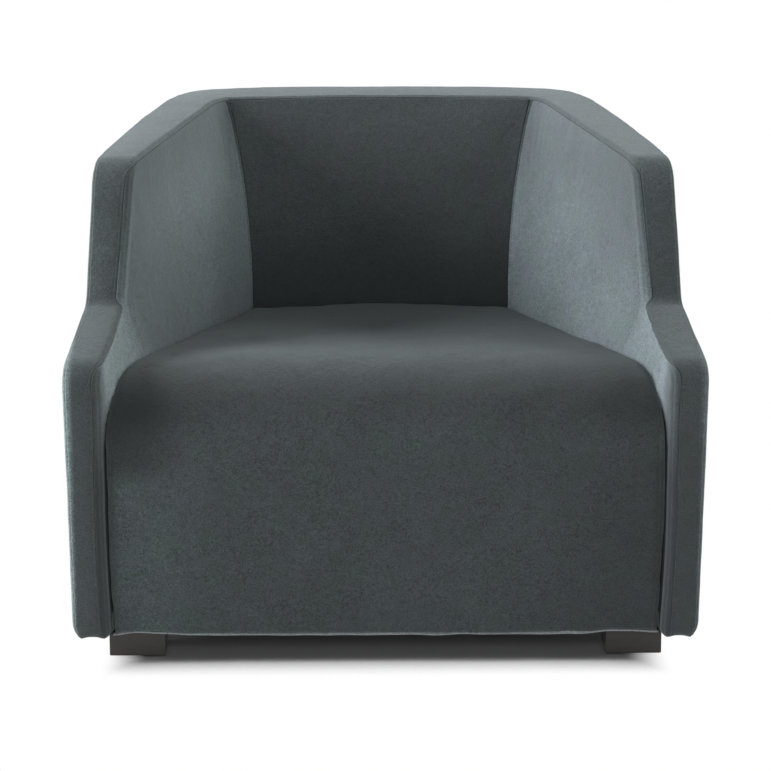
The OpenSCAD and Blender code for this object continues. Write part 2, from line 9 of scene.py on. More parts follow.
import bmesh
import bpy
import numpy as np
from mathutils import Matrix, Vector


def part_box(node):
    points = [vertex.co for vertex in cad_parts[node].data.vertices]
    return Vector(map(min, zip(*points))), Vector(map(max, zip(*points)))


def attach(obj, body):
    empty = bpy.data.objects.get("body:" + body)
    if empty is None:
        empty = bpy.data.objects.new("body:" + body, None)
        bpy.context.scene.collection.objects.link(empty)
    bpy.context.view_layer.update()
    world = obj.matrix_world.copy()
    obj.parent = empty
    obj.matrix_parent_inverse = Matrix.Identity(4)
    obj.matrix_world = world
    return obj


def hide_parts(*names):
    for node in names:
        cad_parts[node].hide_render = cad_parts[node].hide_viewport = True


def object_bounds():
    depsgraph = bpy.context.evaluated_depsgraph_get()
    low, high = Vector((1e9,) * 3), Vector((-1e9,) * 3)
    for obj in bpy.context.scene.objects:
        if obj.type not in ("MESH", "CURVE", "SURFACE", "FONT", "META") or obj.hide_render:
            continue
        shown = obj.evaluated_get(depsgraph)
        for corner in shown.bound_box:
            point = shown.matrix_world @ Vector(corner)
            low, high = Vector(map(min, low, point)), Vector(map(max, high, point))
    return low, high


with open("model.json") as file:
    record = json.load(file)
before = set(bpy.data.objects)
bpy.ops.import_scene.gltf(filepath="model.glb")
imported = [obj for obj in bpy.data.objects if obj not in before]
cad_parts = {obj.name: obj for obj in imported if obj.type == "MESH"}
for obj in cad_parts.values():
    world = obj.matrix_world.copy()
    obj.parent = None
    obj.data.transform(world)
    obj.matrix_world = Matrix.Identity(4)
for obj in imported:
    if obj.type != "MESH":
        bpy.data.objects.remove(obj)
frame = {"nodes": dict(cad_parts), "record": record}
cad_low, cad_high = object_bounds()

# ---------------------------------------------------------------- sizes of the chair
FRONT = cad_low.y
HALF_W = cad_high.x
DEPTH = cad_high.y - cad_low.y
HEIGHT = cad_high.z
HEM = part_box("edge_band")[0].z - 0.0015

# Profile of the arms and wings, as depths and heights of its corners
ARM_H = 0.424
ARM_RUN, KINK_H = 0.165, 0.481
SHOULDER_D, SHOULDER_H = 0.236, 0.672
SHELF_D, SHELF_H = 0.660, 0.700
TOP_CROWN = 0.003

# Plan of the outer faces: arms and wings toe in to the rear, and the back bows out
ARM_TOE = math.radians(7.1)
WING_TOE = math.radians(11.4)
TOE_D = 0.235
WING_BOW = 0.005
BACK_BOW = 0.046
BACK_POWER = 3.4

# The arms lean out by LEAN for each metre above LEAN_Z, and turn under at the bottom
LEAN, LEAN_Z = 0.016, 0.235
TUCK_IN, TUCK_REACH = 0.0022, 0.020
FRONT_TUCK_IN, FRONT_TUCK_RUN = 0.0063, 0.028
INNER_TUCK_IN, INNER_TUCK_REACH = 0.0030, 0.007
LOW_FLARE, LOW_FLARE_TOP, LOW_FLARE_RUN = 0.0056, 0.22, 0.165

# Thickness of the walls at the arms' fronts, the folds and the wings
ARM_WALL, FOLD_WALL, WING_WALL = 0.048, 0.052, 0.058
HOLLOW, HOLLOW_D = 0.013, 0.630

# Radii of the profile's corners, from under the arm to the back, and of the edges
BOTTOM_R, PROFILE_R, KINK_R, SHOULDER_R, SHELF_R = 0.009, 0.036, 0.026, 0.046, 0.4
CORNER_R, SEAM_CORNER_R = 0.100, 0.004
OUTER_R, INNER_R = 0.006, 0.010

# Seat and inner back
SEAT_D = 0.578
SEAT_REAR_H, SEAT_FRONT_H = 0.386, 0.408
BACK_HALF_W, BACK_FLARE = 0.200, 0.037
RAKE = 0.095
INNER_BOW = 0.020
FOLD_SLANT, FOLD_SOFT, FOLD_TOP_D = 0.025, 0.005, 0.2625

COVER_T = 0.0015


def unit(v):
    return v / np.linalg.norm(v, axis=-1, keepdims=True)


def smooth(t):
    """0 to 1 with a soft start and end."""
    t = np.clip(t, 0.0, 1.0)
    return t * t * (3 - 2 * t)


def points(x, d, z):
    x, d, z = np.broadcast_arrays(x, d, z)
    return np.stack([x, d, z], axis=-1).astype(float)


def run_along(path):
    """Distance along a path from its first point."""
    return np.concatenate([[0], np.cumsum(np.linalg.norm(np.diff(path, axis=0), axis=1))])


# ---------------------------------------------------------------- faces of the walls
REAR_D = DEPTH - BACK_BOW


def arch(d, start):
    """A soft arch over the depths from start to the back corner, 1 at its middle."""
    t = np.clip((d - start) / (REAR_D - start), 0, 1)
    return 4 * t * (1 - t)


def turned_under(z, amount, reach):
    """How far a face is drawn in where the cloth turns under the lower edge."""
    return amount * np.clip(1 - (z - HEM) / reach, 0, 1) ** 2


def outer_tuck(d, z):
    """The outer faces turn under at the bottom, and most at the arms' fronts."""
    more = FRONT_TUCK_IN * np.clip(1 - d / FRONT_TUCK_RUN, 0, 1)
    return turned_under(z, TUCK_IN + more, TUCK_REACH)


def leaning(z):
    """Sideways shift of an arm's face that leans outwards up to the arm's top."""
    return LEAN * (np.minimum(z, ARM_H) - LEAN_Z)


def out_x(d, z=ARM_H):
    """Half-width of the outer face: it toes in to the rear and leans out up to the arm's top."""
    toe_in = (np.minimum(d, TOE_D) * math.tan(ARM_TOE)
              + np.maximum(d - TOE_D, 0) * math.tan(WING_TOE))
    return HALF_W - toe_in + WING_BOW * arch(d, TOE_D) + leaning(z) - outer_tuck(d, z)


REAR_X = float(out_x(REAR_D))


def back_d(x):
    """Depth of the outer back."""
    return DEPTH - BACK_BOW * np.abs(x / REAR_X) ** BACK_POWER


def plain_top_z(d):
    """Height of the straight runs of the top edge behind the shoulder."""
    return np.interp(d, [SHOULDER_D, SHELF_D, DEPTH], [SHOULDER_H, SHELF_H, HEIGHT])


def crown(d):
    """How far the top edge arches up between the shoulder and the back corner."""
    return TOP_CROWN * arch(d, SHOULDER_D)


def rise(z):
    """0 at the seat's rear edge and 1 at the top of the back."""
    return np.clip((z - SEAT_REAR_H) / (HEIGHT - SEAT_REAR_H), 0, 1.02)


def seam_x(z):
    return BACK_HALF_W + BACK_FLARE * rise(z) ** 2.2


def seam_d(z):
    return SEAT_D + RAKE * rise(z) ** 1.2


ARM_IN = HALF_W - ARM_WALL
LOW_FOLD_D = ARM_RUN - FOLD_SLANT
LOW_FOLD_X = ARM_IN - (ARM_IN - BACK_HALF_W) * LOW_FOLD_D / SEAT_D
FOLD_Z = [SEAT_REAR_H, KINK_H, SHOULDER_H, HEIGHT + 0.06]
FOLD_D = [LOW_FOLD_D, ARM_RUN, SHOULDER_D, FOLD_TOP_D]
FOLD_X = [LOW_FOLD_X] + [float(out_x(d)) - wall for d, wall in
                         ((ARM_RUN, FOLD_WALL), (SHOULDER_D, WING_WALL), (FOLD_TOP_D, WING_WALL))]


def inner_x(d, z):
    """Half-width of the inner faces: arm and wing meet in a soft fold."""
    fold_d, fold_x = np.interp(z, FOLD_Z, FOLD_D), np.interp(z, FOLD_Z, FOLD_X)
    arm = ARM_IN + (fold_x - ARM_IN) * d / fold_d
    wing = fold_x + (seam_x(z) - fold_x) * (d - fold_d) / (seam_d(z) - fold_d)
    share = np.clip(0.5 + 0.5 * (wing - arm) / FOLD_SOFT, 0, 1)
    shift = (turned_under(z, INNER_TUCK_IN, INNER_TUCK_REACH)
             - LOW_FLARE * np.clip((LOW_FLARE_TOP - z) / LOW_FLARE_RUN, 0, 1.1) ** 2)
    return (wing + (arm - wing) * share - FOLD_SOFT * share * (1 - share)
            + hollow(d, z, fold_d) + shift * np.clip(1 - d / fold_d, 0, 1))


def hollow(d, z, fold_d):
    """The wing's lining curves outwards before it turns in to the back's seam."""
    peak = HOLLOW_D + (seam_d(z) - seam_d(HEIGHT))
    run = np.where(d < peak, (d - fold_d) / (peak - fold_d), (seam_d(z) - d) / (seam_d(z) - peak))
    run = np.clip(run, 0, 1)
    return HOLLOW * rise(z) ** 2.2 * np.where(d < peak, run, run * (2 - run))


def side_face(dz):
    """Inner side face at [depth, height] pairs."""
    return points(inner_x(dz[..., 0], dz[..., 1]), dz[..., 0], dz[..., 1])


def inner_back_d(x, z):
    """Depth of the inner back, which rakes and bows."""
    return seam_d(z) + INNER_BOW * rise(z) * (1 - (x / seam_x(z)) ** 2)


# ---------------------------------------------------------------- the ring of edges
def bent_path(corners, radii, runs):
    """A path through corners rounded to radii, with runs[i] steps on straight i."""
    corners = [np.array(c, float) for c in corners]
    path = []
    start = corners[0]
    for i, run in enumerate(runs):
        arc, end = [], corners[i + 1]
        if i + 1 < len(corners) - 1 and radii[i + 1] > 0:
            u, v = unit(corners[i] - end), unit(corners[i + 2] - end)
            half = math.acos(float(np.dot(u, v))) / 2
            reach = radii[i + 1] / math.tan(half)
            centre = end + unit(u + v) * radii[i + 1] / math.sin(half)
            a, b = end + u * reach - centre, end + v * reach - centre
            sweep = math.pi - 2 * half
            arc = [centre + (math.sin((1 - k / TURN) * sweep) * a
                             + math.sin(k / TURN * sweep) * b) / math.sin(sweep)
                   for k in range(TURN + 1)]
            end = arc[0]
        path += [start + (end - start) * k / run for k in range(run)]
        path += arc[:-1]
        start = arc[-1] if arc else end
    return np.array(path + [start])


TURN = 10
UNDER_D = 0.060
RUNS = [8, 74, 28, 34, 74, 16, 48]
RADII = [0, BOTTOM_R, PROFILE_R, KINK_R, SHOULDER_R, SHELF_R, CORNER_R, 0]
PROFILE = [(UNDER_D, HEM), (0, HEM), (0, ARM_H), (ARM_RUN, KINK_H), (SHOULDER_D, SHOULDER_H),
           (SHELF_D, SHELF_H)]


def bowed_back(path, depth_at, middle_z):
    """The ring with its last run laid along the back, at middle_z in the chair's middle."""
    back = slice(len(path) - RUNS[-1] - 1, None)
    start = path[back][0].copy()
    x = np.linspace(start[0], 0, RUNS[-1] + 1)
    level = start[2] + (middle_z - start[2]) * (1 - (x / start[0]) ** 2)
    shift = (start[1] - depth_at(start[0])) * (x / start[0]) ** 8
    path[back] = points(x, depth_at(x) + shift, level)
    return path


def outer_ring():
    """The edge's outer line on the right half, from under the arm to the middle of the back."""
    corners = [(float(out_x(d, z)), d, z) for d, z in PROFILE]
    corners += [(REAR_X, REAR_D, float(plain_top_z(REAR_D))),
                (0, DEPTH + (BACK_POWER - 1) * BACK_BOW, HEIGHT)]
    path = bent_path(corners, RADII, RUNS)
    side = slice(0, len(path) - RUNS[-1] - TURN - 1)
    path[side, 0] = out_x(path[side, 1], path[side, 2])
    path[side, 2] += crown(path[side, 1])
    return bowed_back(path, back_d, HEIGHT)


TIP_D = SEAT_D + RAKE
TIP_Z = float(plain_top_z(TIP_D) + crown(TIP_D))
TIP = (float(seam_x(TIP_Z)), float(seam_d(TIP_Z)), TIP_Z)


def inner_ring():
    """The edge's inner line, as many points long as the outer one."""
    shelf_d = TIP_D - 0.080
    corners = [(float(inner_x(d, z)), d, z) for d, z in PROFILE[:-1]]
    corners += [(float(inner_x(shelf_d, TIP_Z)), shelf_d, float(plain_top_z(shelf_d))),
                (*TIP[:2], TIP_Z - float(crown(TIP_D))),
                (0, TIP[1] + 2 * INNER_BOW, TIP_Z - float(crown(TIP_D)))]
    path = bent_path(corners, RADII[:6] + [SEAM_CORNER_R, 0], RUNS)
    path[:, 2] += crown(path[:, 1])
    side = slice(0, len(path) - RUNS[-1] - TURN - 1)
    path[side, 0] = inner_x(path[side, 1], path[side, 2])
    return bowed_back(path, lambda x: inner_back_d(x, TIP_Z), TIP_Z)


OUTER = outer_ring()
INNER = inner_ring()
COUNT = len(OUTER)
ARM_FRONT = RUNS[0] + TURN
MID_ARM = ARM_FRONT + round(0.62 * RUNS[1])
ARM_TOP = ARM_FRONT + RUNS[1]
KINK = ARM_TOP + TURN + RUNS[2] + TURN // 2
SHOULDER = KINK + TURN + RUNS[3]
CORNER_FROM = COUNT - 1 - RUNS[-1] - TURN
CORNER_MID = CORNER_FROM + TURN // 2
STATION = run_along(INNER)


def tangents(path):
    return unit(np.gradient(path, axis=0))


def outer_directions():
    """Unit directions down the outer face from its edge."""
    plan = np.gradient(OUTER, axis=0)[:, :2]
    side, e = slice(0, CORNER_FROM), 0.001
    d, z = np.maximum(OUTER[side, 1], e), OUTER[side, 2]
    plan[side] = np.stack([(out_x(d + e, z) - out_x(d - e, z)) / (2 * e), np.ones(len(d))], axis=1)
    plan = unit(plan)
    normal = np.stack([plan[:, 1], -plan[:, 0], np.zeros(COUNT)], axis=1)
    return unit(np.cross(tangents(OUTER), normal))


def inner_directions():
    """Unit directions down the inner faces from their edge."""
    step = 0.015
    turn = np.gradient(INNER[:, 1:], axis=0)
    inward = unit(np.stack([turn[:, 1], -turn[:, 0]], axis=1))
    side = unit(side_face(INNER[:, 1:] + inward * step) - INNER)
    low = INNER[:, 2] - step
    back = unit(points(INNER[:, 0], INNER[:, 1] + inner_back_d(INNER[:, 0], low)
                       - inner_back_d(INNER[:, 0], INNER[:, 2]), low) - INNER)
    seam_z = TIP_Z - step
    down = unit(np.array([float(seam_x(seam_z)) - TIP[0], float(seam_d(seam_z)) - TIP[1], -step]))
    near = np.exp(-((STATION - STATION[CORNER_MID]) / 0.022) ** 2)[:, None]
    on_side = (np.arange(COUNT) <= CORNER_MID)[:, None]
    return unit(np.where(on_side, side, back) * (1 - near) + down * near)


OUT_DOWN = outer_directions()
IN_DOWN = inner_directions()
ACROSS = unit(INNER - OUTER)
BAND_W = np.linalg.norm(INNER - OUTER, axis=1)
BAND_OUT = unit(np.cross(tangents((OUTER + INNER) / 2), ACROSS))


def wrap_width():
    """How far the inner panels wrap on to the band: wide on the fronts, narrow on the tops."""
    wide, narrow = 0.0105, -0.0035
    mean = (OUTER + INNER) / 2
    up = np.abs(tangents(mean)[:, 2])
    share = smooth((up - 0.45) / 0.4)
    kernel = np.exp(-np.linspace(-2, 2, 9) ** 2)
    share = np.convolve(np.pad(share, 4, mode="edge"), kernel / kernel.sum(), mode="valid")
    return narrow + (wide - narrow) * share


WRAP = wrap_width()


def at(values, station):
    """values, given along the ring, at other stations of the ring."""
    values = np.asarray(values, float)
    if values.ndim == 1:
        return np.interp(station, STATION, values)
    return np.stack([np.interp(station, STATION, values[:, i])
                     for i in range(values.shape[1])], axis=1)


def rounded_edge(edge, face, band, radius, q):
    """Points q from a sharp edge, rounded: on the face where q > 0, on the band where q < 0."""
    q = np.broadcast_to(q, edge.shape[:1])[:, None]
    half = np.arccos(np.clip((face * band).sum(1, keepdims=True), -1, 1)) / 2
    reach = radius / np.tan(half)
    middle, sideways = unit(face + band), unit(face - band)
    centre = edge + middle * radius / np.sin(half)
    turn = np.clip(q / reach, -1, 1) * (math.pi / 2 - half)
    arc = centre + radius * (sideways * np.sin(turn) - middle * np.cos(turn))
    flat = edge + np.where(q > 0, face * q, -band * q)
    return np.where(np.abs(q) < reach, arc, flat)


# The band is crowned across, and slightly hollow under the arms.
BAND_CROWN = 0.0022
FULLNESS = np.where(np.arange(COUNT) < RUNS[0] + TURN // 2, -0.45, 1.0)


def wall_point(station, y):
    """Point of the band at distance y from its outer edge; y < 0 is on the outer face."""
    edge_o, edge_i = at(OUTER, station), at(INNER, station)
    across, width = unit(at(ACROSS, station)), at(BAND_W, station)
    near_o = rounded_edge(edge_o, unit(at(OUT_DOWN, station)), across, OUTER_R, -y)
    near_i = rounded_edge(edge_i, unit(at(IN_DOWN, station)), -across, INNER_R, y - width)
    share = np.clip(y / width, 0, 1)
    fullness = BAND_CROWN * 4 * share * (1 - share) * at(FULLNESS, station)
    base = np.where((y < width / 2)[:, None], near_o, near_i)
    return base + unit(at(BAND_OUT, station)) * fullness[:, None]


# ---------------------------------------------------------------- cloth surfaces
def ripple(place, wavelength, seed, waves=14):
    """Smooth random relief between about -1 and 1, the same on every run."""
    rng = np.random.default_rng(seed)
    total = 0
    for _ in range(waves):
        way = unit(rng.normal(size=3)) * 2 * math.pi / (wavelength * rng.uniform(0.7, 1.5))
        total = total + np.sin(place @ way + rng.uniform(0, 2 * math.pi))
    return total / math.sqrt(waves)


def sunk(distance, radius):
    """Depth of cloth that rolls down into a seam, at a distance from the seam line."""
    t = np.clip(1 - distance / radius, 0, 1)
    return radius * (1 - np.sqrt(1 - t * t))


def crease(distance, depth, width):
    """Depth of a narrow furrow, or height of a narrow bead."""
    return depth * np.exp(-(distance / width) ** 2)


# Cloth faces away from a place (1) or towards it (-1): inside the frame, or over the seat.
OUTWARDS = ((0.0, 0.38, 0.30), 1)
INWARDS = ((0.0, 0.20, 0.75), -1)


def raised(net, relief, facing):
    """The net moved by relief along the normals on the side that it faces."""
    normals = unit(np.cross(np.gradient(net, axis=1), np.gradient(net, axis=0)))
    place, sign = facing
    if (normals * (net - place)).sum() * sign < 0:
        normals = -normals
    return net + normals * relief[..., None]


def added(name, data):
    """An object with this data, linked to the scene."""
    made = bpy.data.objects.new(name, data)
    bpy.context.scene.collection.objects.link(made)
    return made


def meshed(name, bm):
    """An object with the bmesh's shape, which frees the bmesh."""
    mesh = bpy.data.meshes.new(name)
    bm.to_mesh(mesh)
    bm.free()
    return added(name, mesh)


def cloth_piece(name, net, facing, closed=False, thickness=COVER_T):
    """A grid with one vertex for each point of net, [row, column, xyz]."""
    rows, columns = net.shape[:2]
    bm = bmesh.new()
    bmesh.ops.create_grid(bm, x_segments=columns - 1, y_segments=rows - 1, size=0.5)
    for v in bm.verts:
        column = round((v.co.x + 0.5) * (columns - 1))
        row = round((v.co.y + 0.5) * (rows - 1))
        x, d, z = net[row, column]
        v.co = (x, FRONT + d, z)
    if closed:
        bmesh.ops.remove_doubles(bm, verts=bm.verts, dist=1e-6)
    bm.normal_update()
    place, sign = Vector(facing[0]), facing[1]
    place.y += FRONT
    total = sum(f.normal.dot(f.calc_center_median() - place) * f.calc_area() for f in bm.faces)
    if total * sign < 0:
        bmesh.ops.reverse_faces(bm, faces=bm.faces)
    piece = meshed(name, bm)
    for p in piece.data.polygons:
        p.use_smooth = True
    wall = piece.modifiers.new("Thickness", "SOLIDIFY")
    wall.thickness = thickness
    wall.offset = -1
    return piece


def mirrored(net):
    return net[:, ::-1] * np.array([-1, 1, 1])


def both_halves(half):
    """A right half, of a net or of its relief, joined to its mirror image."""
    other = mirrored(half) if half.ndim == 3 else half[:, ::-1]
    return np.concatenate([half, other[:, 1:]], axis=1)


# Steps of a panel's first rows from its sewn edge, which rolls down into the seam
RIM = np.array([0, 0.4, 0.8, 1.3, 2, 2.8, 3.8, 5, 6.4, 8, 9.6, 11.4, 13.4, 15.6, 18]) / 1000
SEAM_R = 0.0018
NAMES = {1: "right", -1: "left"}


# ---------------------------------------------------------------- edge band
def hung(net):
    """The net with its cloth hanging a little lower at the lower corners of the arms' fronts."""
    x, d, z = net[..., 0], net[..., 1], net[..., 2]
    folds = sum(crease(np.abs(x) - corner, 0.0034, 0.0070) for corner in (0.4250, 0.3925))
    low = smooth((HEM + 0.018 - z) / 0.016) * smooth((0.045 - d) / 0.030)
    return points(x, d, z - low * (folds + 0.0014 * (x > 0)))


def band_piece():
    """Strip over the fronts and tops of the walls, from under one arm to under the other."""
    piping, start = 0.0034, -OUTER_R
    end = BAND_W - WRAP
    near = np.array([0, 0.5, 1, 1.6, 2.3, 3.2, 4.4, 5.8, 7.2, 8.4, 9.2, 9.9, 10.6, 11.3,
                     12, 12.8, 14, 16, 19, 23]) / 1000
    far = np.array([16, 13, 10.5, 8.5, 7, 5.8, 4.9, 4.2, 3.5, 2.8, 2.1, 1.4, 0.8, 0.4, 0]) / 1000
    rows, relief = [], []
    stops = [start + n for n in near]
    middle_from, middle_to = start + near[-1], end - far[0]
    for share in np.linspace(0, 1, 9)[1:-1]:
        stops.append(middle_from + (middle_to - middle_from) * share)
    stops += [end - f for f in far]
    for y in stops:
        y = np.broadcast_to(y, STATION.shape)
        rows.append(wall_point(STATION, y))
        relief.append(-sunk(y - start, SEAM_R) - sunk(end - y, SEAM_R)
                      - crease(y - piping, 0.0010, 0.0010)
                      - crease(end - y - 0.0045, 0.0003, 0.0010))
    net, relief = both_halves(np.array(rows)), both_halves(np.array(relief))
    relief = relief + 0.00025 * ripple(net, 0.09, 3) + 0.00010 * ripple(net, 0.03, 4)
    return cloth_piece("edge_band_cover", hung(raised(net, relief, OUTWARDS)), OUTWARDS)


# ---------------------------------------------------------------- inner side panels
# Depths and heights of the line where the inner side panels end, from front to back
INNER_END_Z = 0.338
TUCK = np.array([(0.060, 0.068), (0.042, 0.100), (0.050, 0.290), (0.100, 0.340), (0.170, 0.356),
                 (0.300, 0.352), (0.420, 0.345), (SEAT_D, INNER_END_Z)])


def tuck_line(station):
    """Where the inner side panels end, out of sight beside the seat."""
    keys = STATION[[0, ARM_FRONT, MID_ARM, ARM_TOP + TURN // 2, KINK, SHOULDER,
                    (SHOULDER + CORNER_FROM) // 2, CORNER_MID]]
    return np.stack([np.interp(station, keys, TUCK[:, i]) for i in range(2)], axis=1)


def side_columns():
    """Stations of the inner side panels' columns, closer together at the rear seam."""
    end = STATION[CORNER_MID]
    close = end - np.array([0.5, 1, 1.6, 2.3, 3.1, 4, 5, 6.2, 7.6, 9.2, 11]) / 1000
    body = STATION[STATION < end - 0.0125]
    return np.sort(np.concatenate([body, close, [end]]))


def wrapped(s, q, flat=None):
    """Row of an inner panel q below the edge: q < 0 is on the band, and flat is its plain face."""
    edge, down = at(INNER, s), unit(at(IN_DOWN, s))
    on_band = wall_point(s, at(BAND_W, s) + q)
    face = rounded_edge(edge, down, -unit(at(ACROSS, s)), INNER_R, q)
    if flat is not None:
        blend = smooth((q - 0.004) / 0.006)[:, None]
        face = face * (1 - blend) + flat * blend
    return np.where((q < 0)[:, None], on_band, face)


def side_panel(side):
    """One inner side panel: it wraps on to the band, and a welt runs down its rear seam."""
    s = side_columns()
    wrap, edge, slope = at(WRAP, s), at(INNER, s), unit(at(IN_DOWN, s))[:, 1:]
    rows, relief, reach = [], [], 0.026
    rim = np.concatenate([RIM, np.array([20.5, 23, 26]) / 1000])
    for step in rim:
        q = step - wrap
        rows.append(wrapped(s, q, side_face(edge[:, 1:] + slope * q[:, None])))
        relief.append(-sunk(np.full(len(s), step), SEAM_R)
                      - crease(q + 0.0005, 0.0009, 0.0011) * smooth((wrap - 0.006) / 0.003))
    first = edge[:, 1:] + slope * (reach - wrap)[:, None]
    last = tuck_line(s)
    line_z = np.linspace(first[-1, 1], last[-1, 1], 61)
    bow = seam_d(line_z) - np.interp(line_z, [last[-1, 1], first[-1, 1]],
                                     [last[-1, 0], first[-1, 0]])
    follow = smooth((s / s[-1] - 0.45) / 0.55)
    full = smooth(np.linalg.norm(last - first, axis=1) / 0.12 - 0.3) * smooth((s[-1] - s) / 0.16)
    for g in np.linspace(0, 1, 46)[1:]:
        dz = first + (last - first) * g
        dz[:, 0] += follow * np.interp(g, np.linspace(0, 1, 61), bow)
        rows.append(side_face(dz))
        relief.append(0.0042 * 4 * g * (1 - g) * full)
    net, relief = np.array(rows), np.array(relief)
    gap = np.broadcast_to(s[-1] - s, relief.shape)
    welt = crease(gap - 0.0032, 0.0021, 0.0014) - crease(gap - 0.0062, 0.0010, 0.0010)
    relief = relief - sunk(gap, 0.0022) + welt + wing_wrinkles(net, side)
    if side < 0:
        net, relief = mirrored(net), relief[:, ::-1]
    return cloth_piece(f"{NAMES[side]}_inner_panel", hung(raised(net, relief, INWARDS)), INWARDS)


def wing_wrinkles(net, side):
    """Soft dents, and the short slanting wrinkles where the wing meets the back's top."""
    seed = 21 if side > 0 else 31
    relief = 0.0003 * ripple(net, 0.12, seed) + 0.0001 * ripple(net, 0.035, seed + 1)
    d, z = net[..., 1], net[..., 2]
    strength = 0.0011 if side > 0 else 0.0004
    along = (d - 0.60) * 0.55 + (z - 0.62) * 0.85
    cross = (d - 0.60) * 0.85 - (z - 0.62) * 0.55
    patch = np.exp(-(along / 0.055) ** 2 - (cross / 0.030) ** 2)
    relief = relief + strength * patch * np.sin(cross * 2 * math.pi / 0.016)
    fold = np.interp(z, FOLD_Z, FOLD_D)
    wedge = smooth((fold - 0.005 - d) / 0.02) * smooth((z - 0.30) / 0.08)
    relief = relief + (0.0007 if side > 0 else 0.0004) * wedge * ripple(
        net * np.array([1, 1, 0.25]), 0.014, seed + 2, waves=8)
    return relief


# ---------------------------------------------------------------- inner back panel
def inner_back_panel():
    """The inner back's cover, from the band's seam down to behind the seat."""
    ends = np.array([0, 0.5, 1, 1.6, 2.3, 3.1, 4, 5, 6.5, 8.5]) / 1000
    start = STATION[CORNER_MID]
    half = np.concatenate([start + ends, STATION[STATION > start + 0.010]])
    wrap = at(WRAP, half)
    rows = [wrapped(half, step - wrap) for step in RIM]
    relief = [-sunk(np.full(len(half), step), SEAM_R) for step in RIM]
    top = rows[-1]
    ratio = np.clip(at(INNER, half)[:, 0] / TIP[0], 0, 1)
    for g in np.linspace(0, 1, 60)[1:]:
        z = top[:, 2] + (INNER_END_Z - top[:, 2]) * g
        x = ratio * seam_x(z)
        rows.append(points(x, inner_back_d(x, z), z))
        relief.append(np.full(len(half), 0.0030 * math.sin(math.pi * g) ** 0.7)
                      * smooth((1 - ratio) / 0.35))
    net, relief = np.array(rows), np.array(relief)
    gap = (1 - ratio) * TIP[0]
    relief = relief - sunk(np.broadcast_to(gap, relief.shape), 0.0028)
    net, relief = both_halves(net), both_halves(relief)
    relief = relief + 0.0008 * ripple(net, 0.13, 41) + 0.0002 * ripple(net, 0.04, 42)
    return cloth_piece("inner_back_panel", raised(net, relief, INWARDS), INWARDS)


# ---------------------------------------------------------------- seat
# The front falls from the top in a roll whose profile is a superellipse.
SEAT_FRONT = 0.008
ROLL_D, ROLL_H, ROLL_POWER = 0.116, 0.108, 2.5
ROLL_END_H = SEAT_FRONT_H - ROLL_H
SEAT_HEM = HEM + 0.004


def hem_rise(x):
    """The seat's lower edge lies a little higher where it passes over the feet."""
    out = np.abs(x)
    return 0.0028 * smooth((out - 0.270) / 0.05) - 0.0022 * smooth((out - 0.340) / 0.035)


def seat_profile():
    """Middle line of the seat from its tuck at the back, over the roll, down to the hem."""
    rear_d, end_z = SEAT_D - 0.001, 0.340
    rear = bent_path([(rear_d, end_z), (rear_d, SEAT_REAR_H + 0.002),
                      (SEAT_FRONT + ROLL_D, SEAT_FRONT_H)], [0, 0.016, 0], [8, 80])
    a = np.linspace(math.pi / 2, 0, 46)[1:]
    power = 2 / ROLL_POWER
    roll = np.stack([SEAT_FRONT + ROLL_D * (1 - np.cos(a) ** power),
                     ROLL_END_H + ROLL_H * np.sin(a) ** power], axis=1)
    front_z = np.linspace(ROLL_END_H, SEAT_HEM, 54)[1:]
    front = np.stack([np.full(len(front_z), SEAT_FRONT), front_z], axis=1)
    path = np.concatenate([rear, roll, front])
    length = run_along(path)
    even = np.linspace(0, length[-1], 230)
    return np.stack([np.interp(even, length, path[:, i]) for i in range(2)], axis=1), even


def seat_piece():
    """The seat's one-piece cover: it tucks in all round, and its crown and sides are full."""
    line, run = seat_profile()
    turn = unit(np.gradient(line, axis=0))
    normal = np.stack([turn[:, 1], -turn[:, 0]], axis=1)
    normal *= np.sign(normal[len(line) // 3, 1])
    frontness = smooth((SEAT_FRONT_H - 0.02 - line[:, 1]) / 0.08) * (line[:, 0] < 0.2)
    edge_r = 0.014 * (1 - frontness) + 0.0040 * frontness
    side = inner_x(line[:, 0], line[:, 1]) - 0.0012 - 0.0022 * frontness
    close = np.array([0, 0.4, 1, 1.8, 2.8, 4, 5.2, 6.4, 7.8, 9.5, 12, 15, 19, 24, 30, 38, 48])
    close, none = close / 1000, np.zeros(len(side))
    # Each column has a half-width and a depth below the crown: the tuck, the edge, the middle.
    columns = [(side, edge_r + extra) for extra in (0.030, 0.022, 0.014, 0.007)]
    columns += [(side - gap, sunk(none + gap, edge_r)) for gap in close]
    columns += [((side - close[-1]) * share, none) for share in np.linspace(1, 0, 44)[1:]]
    x, depth = (np.array(part).T for part in zip(*columns))
    gap = side[:, None] - x
    share = run / run[-1]
    fullness = np.interp(share, [0, 0.06, 0.25, 0.5, 0.62, 0.75, 1],
                         [0.0, 0.0060, 0.0135, 0.0130, 0.0085, 0.0050, 0.0015])
    bead = crease(gap - 0.0050, 0.0007, 0.0018) - crease(gap - 0.0085, 0.0005, 0.0012)
    lift = (fullness[:, None] * (1 - (1 - np.clip(gap / 0.26, 0, 1)) ** 2)
            + bead * frontness[:, None] - depth)
    net = points(x, line[:, :1] + normal[:, :1] * lift, line[:, 1:] + normal[:, 1:] * lift)
    net[..., 2] += hem_rise(net[..., 0]) * smooth((SEAT_HEM + 0.05 - net[..., 2]) / 0.05)
    net = both_halves(net)
    relief = 0.0011 * ripple(net, 0.16, 51) + 0.0004 * ripple(net, 0.05, 52)
    return cloth_piece("seat_cushion", raised(net, relief, OUTWARDS), OUTWARDS)


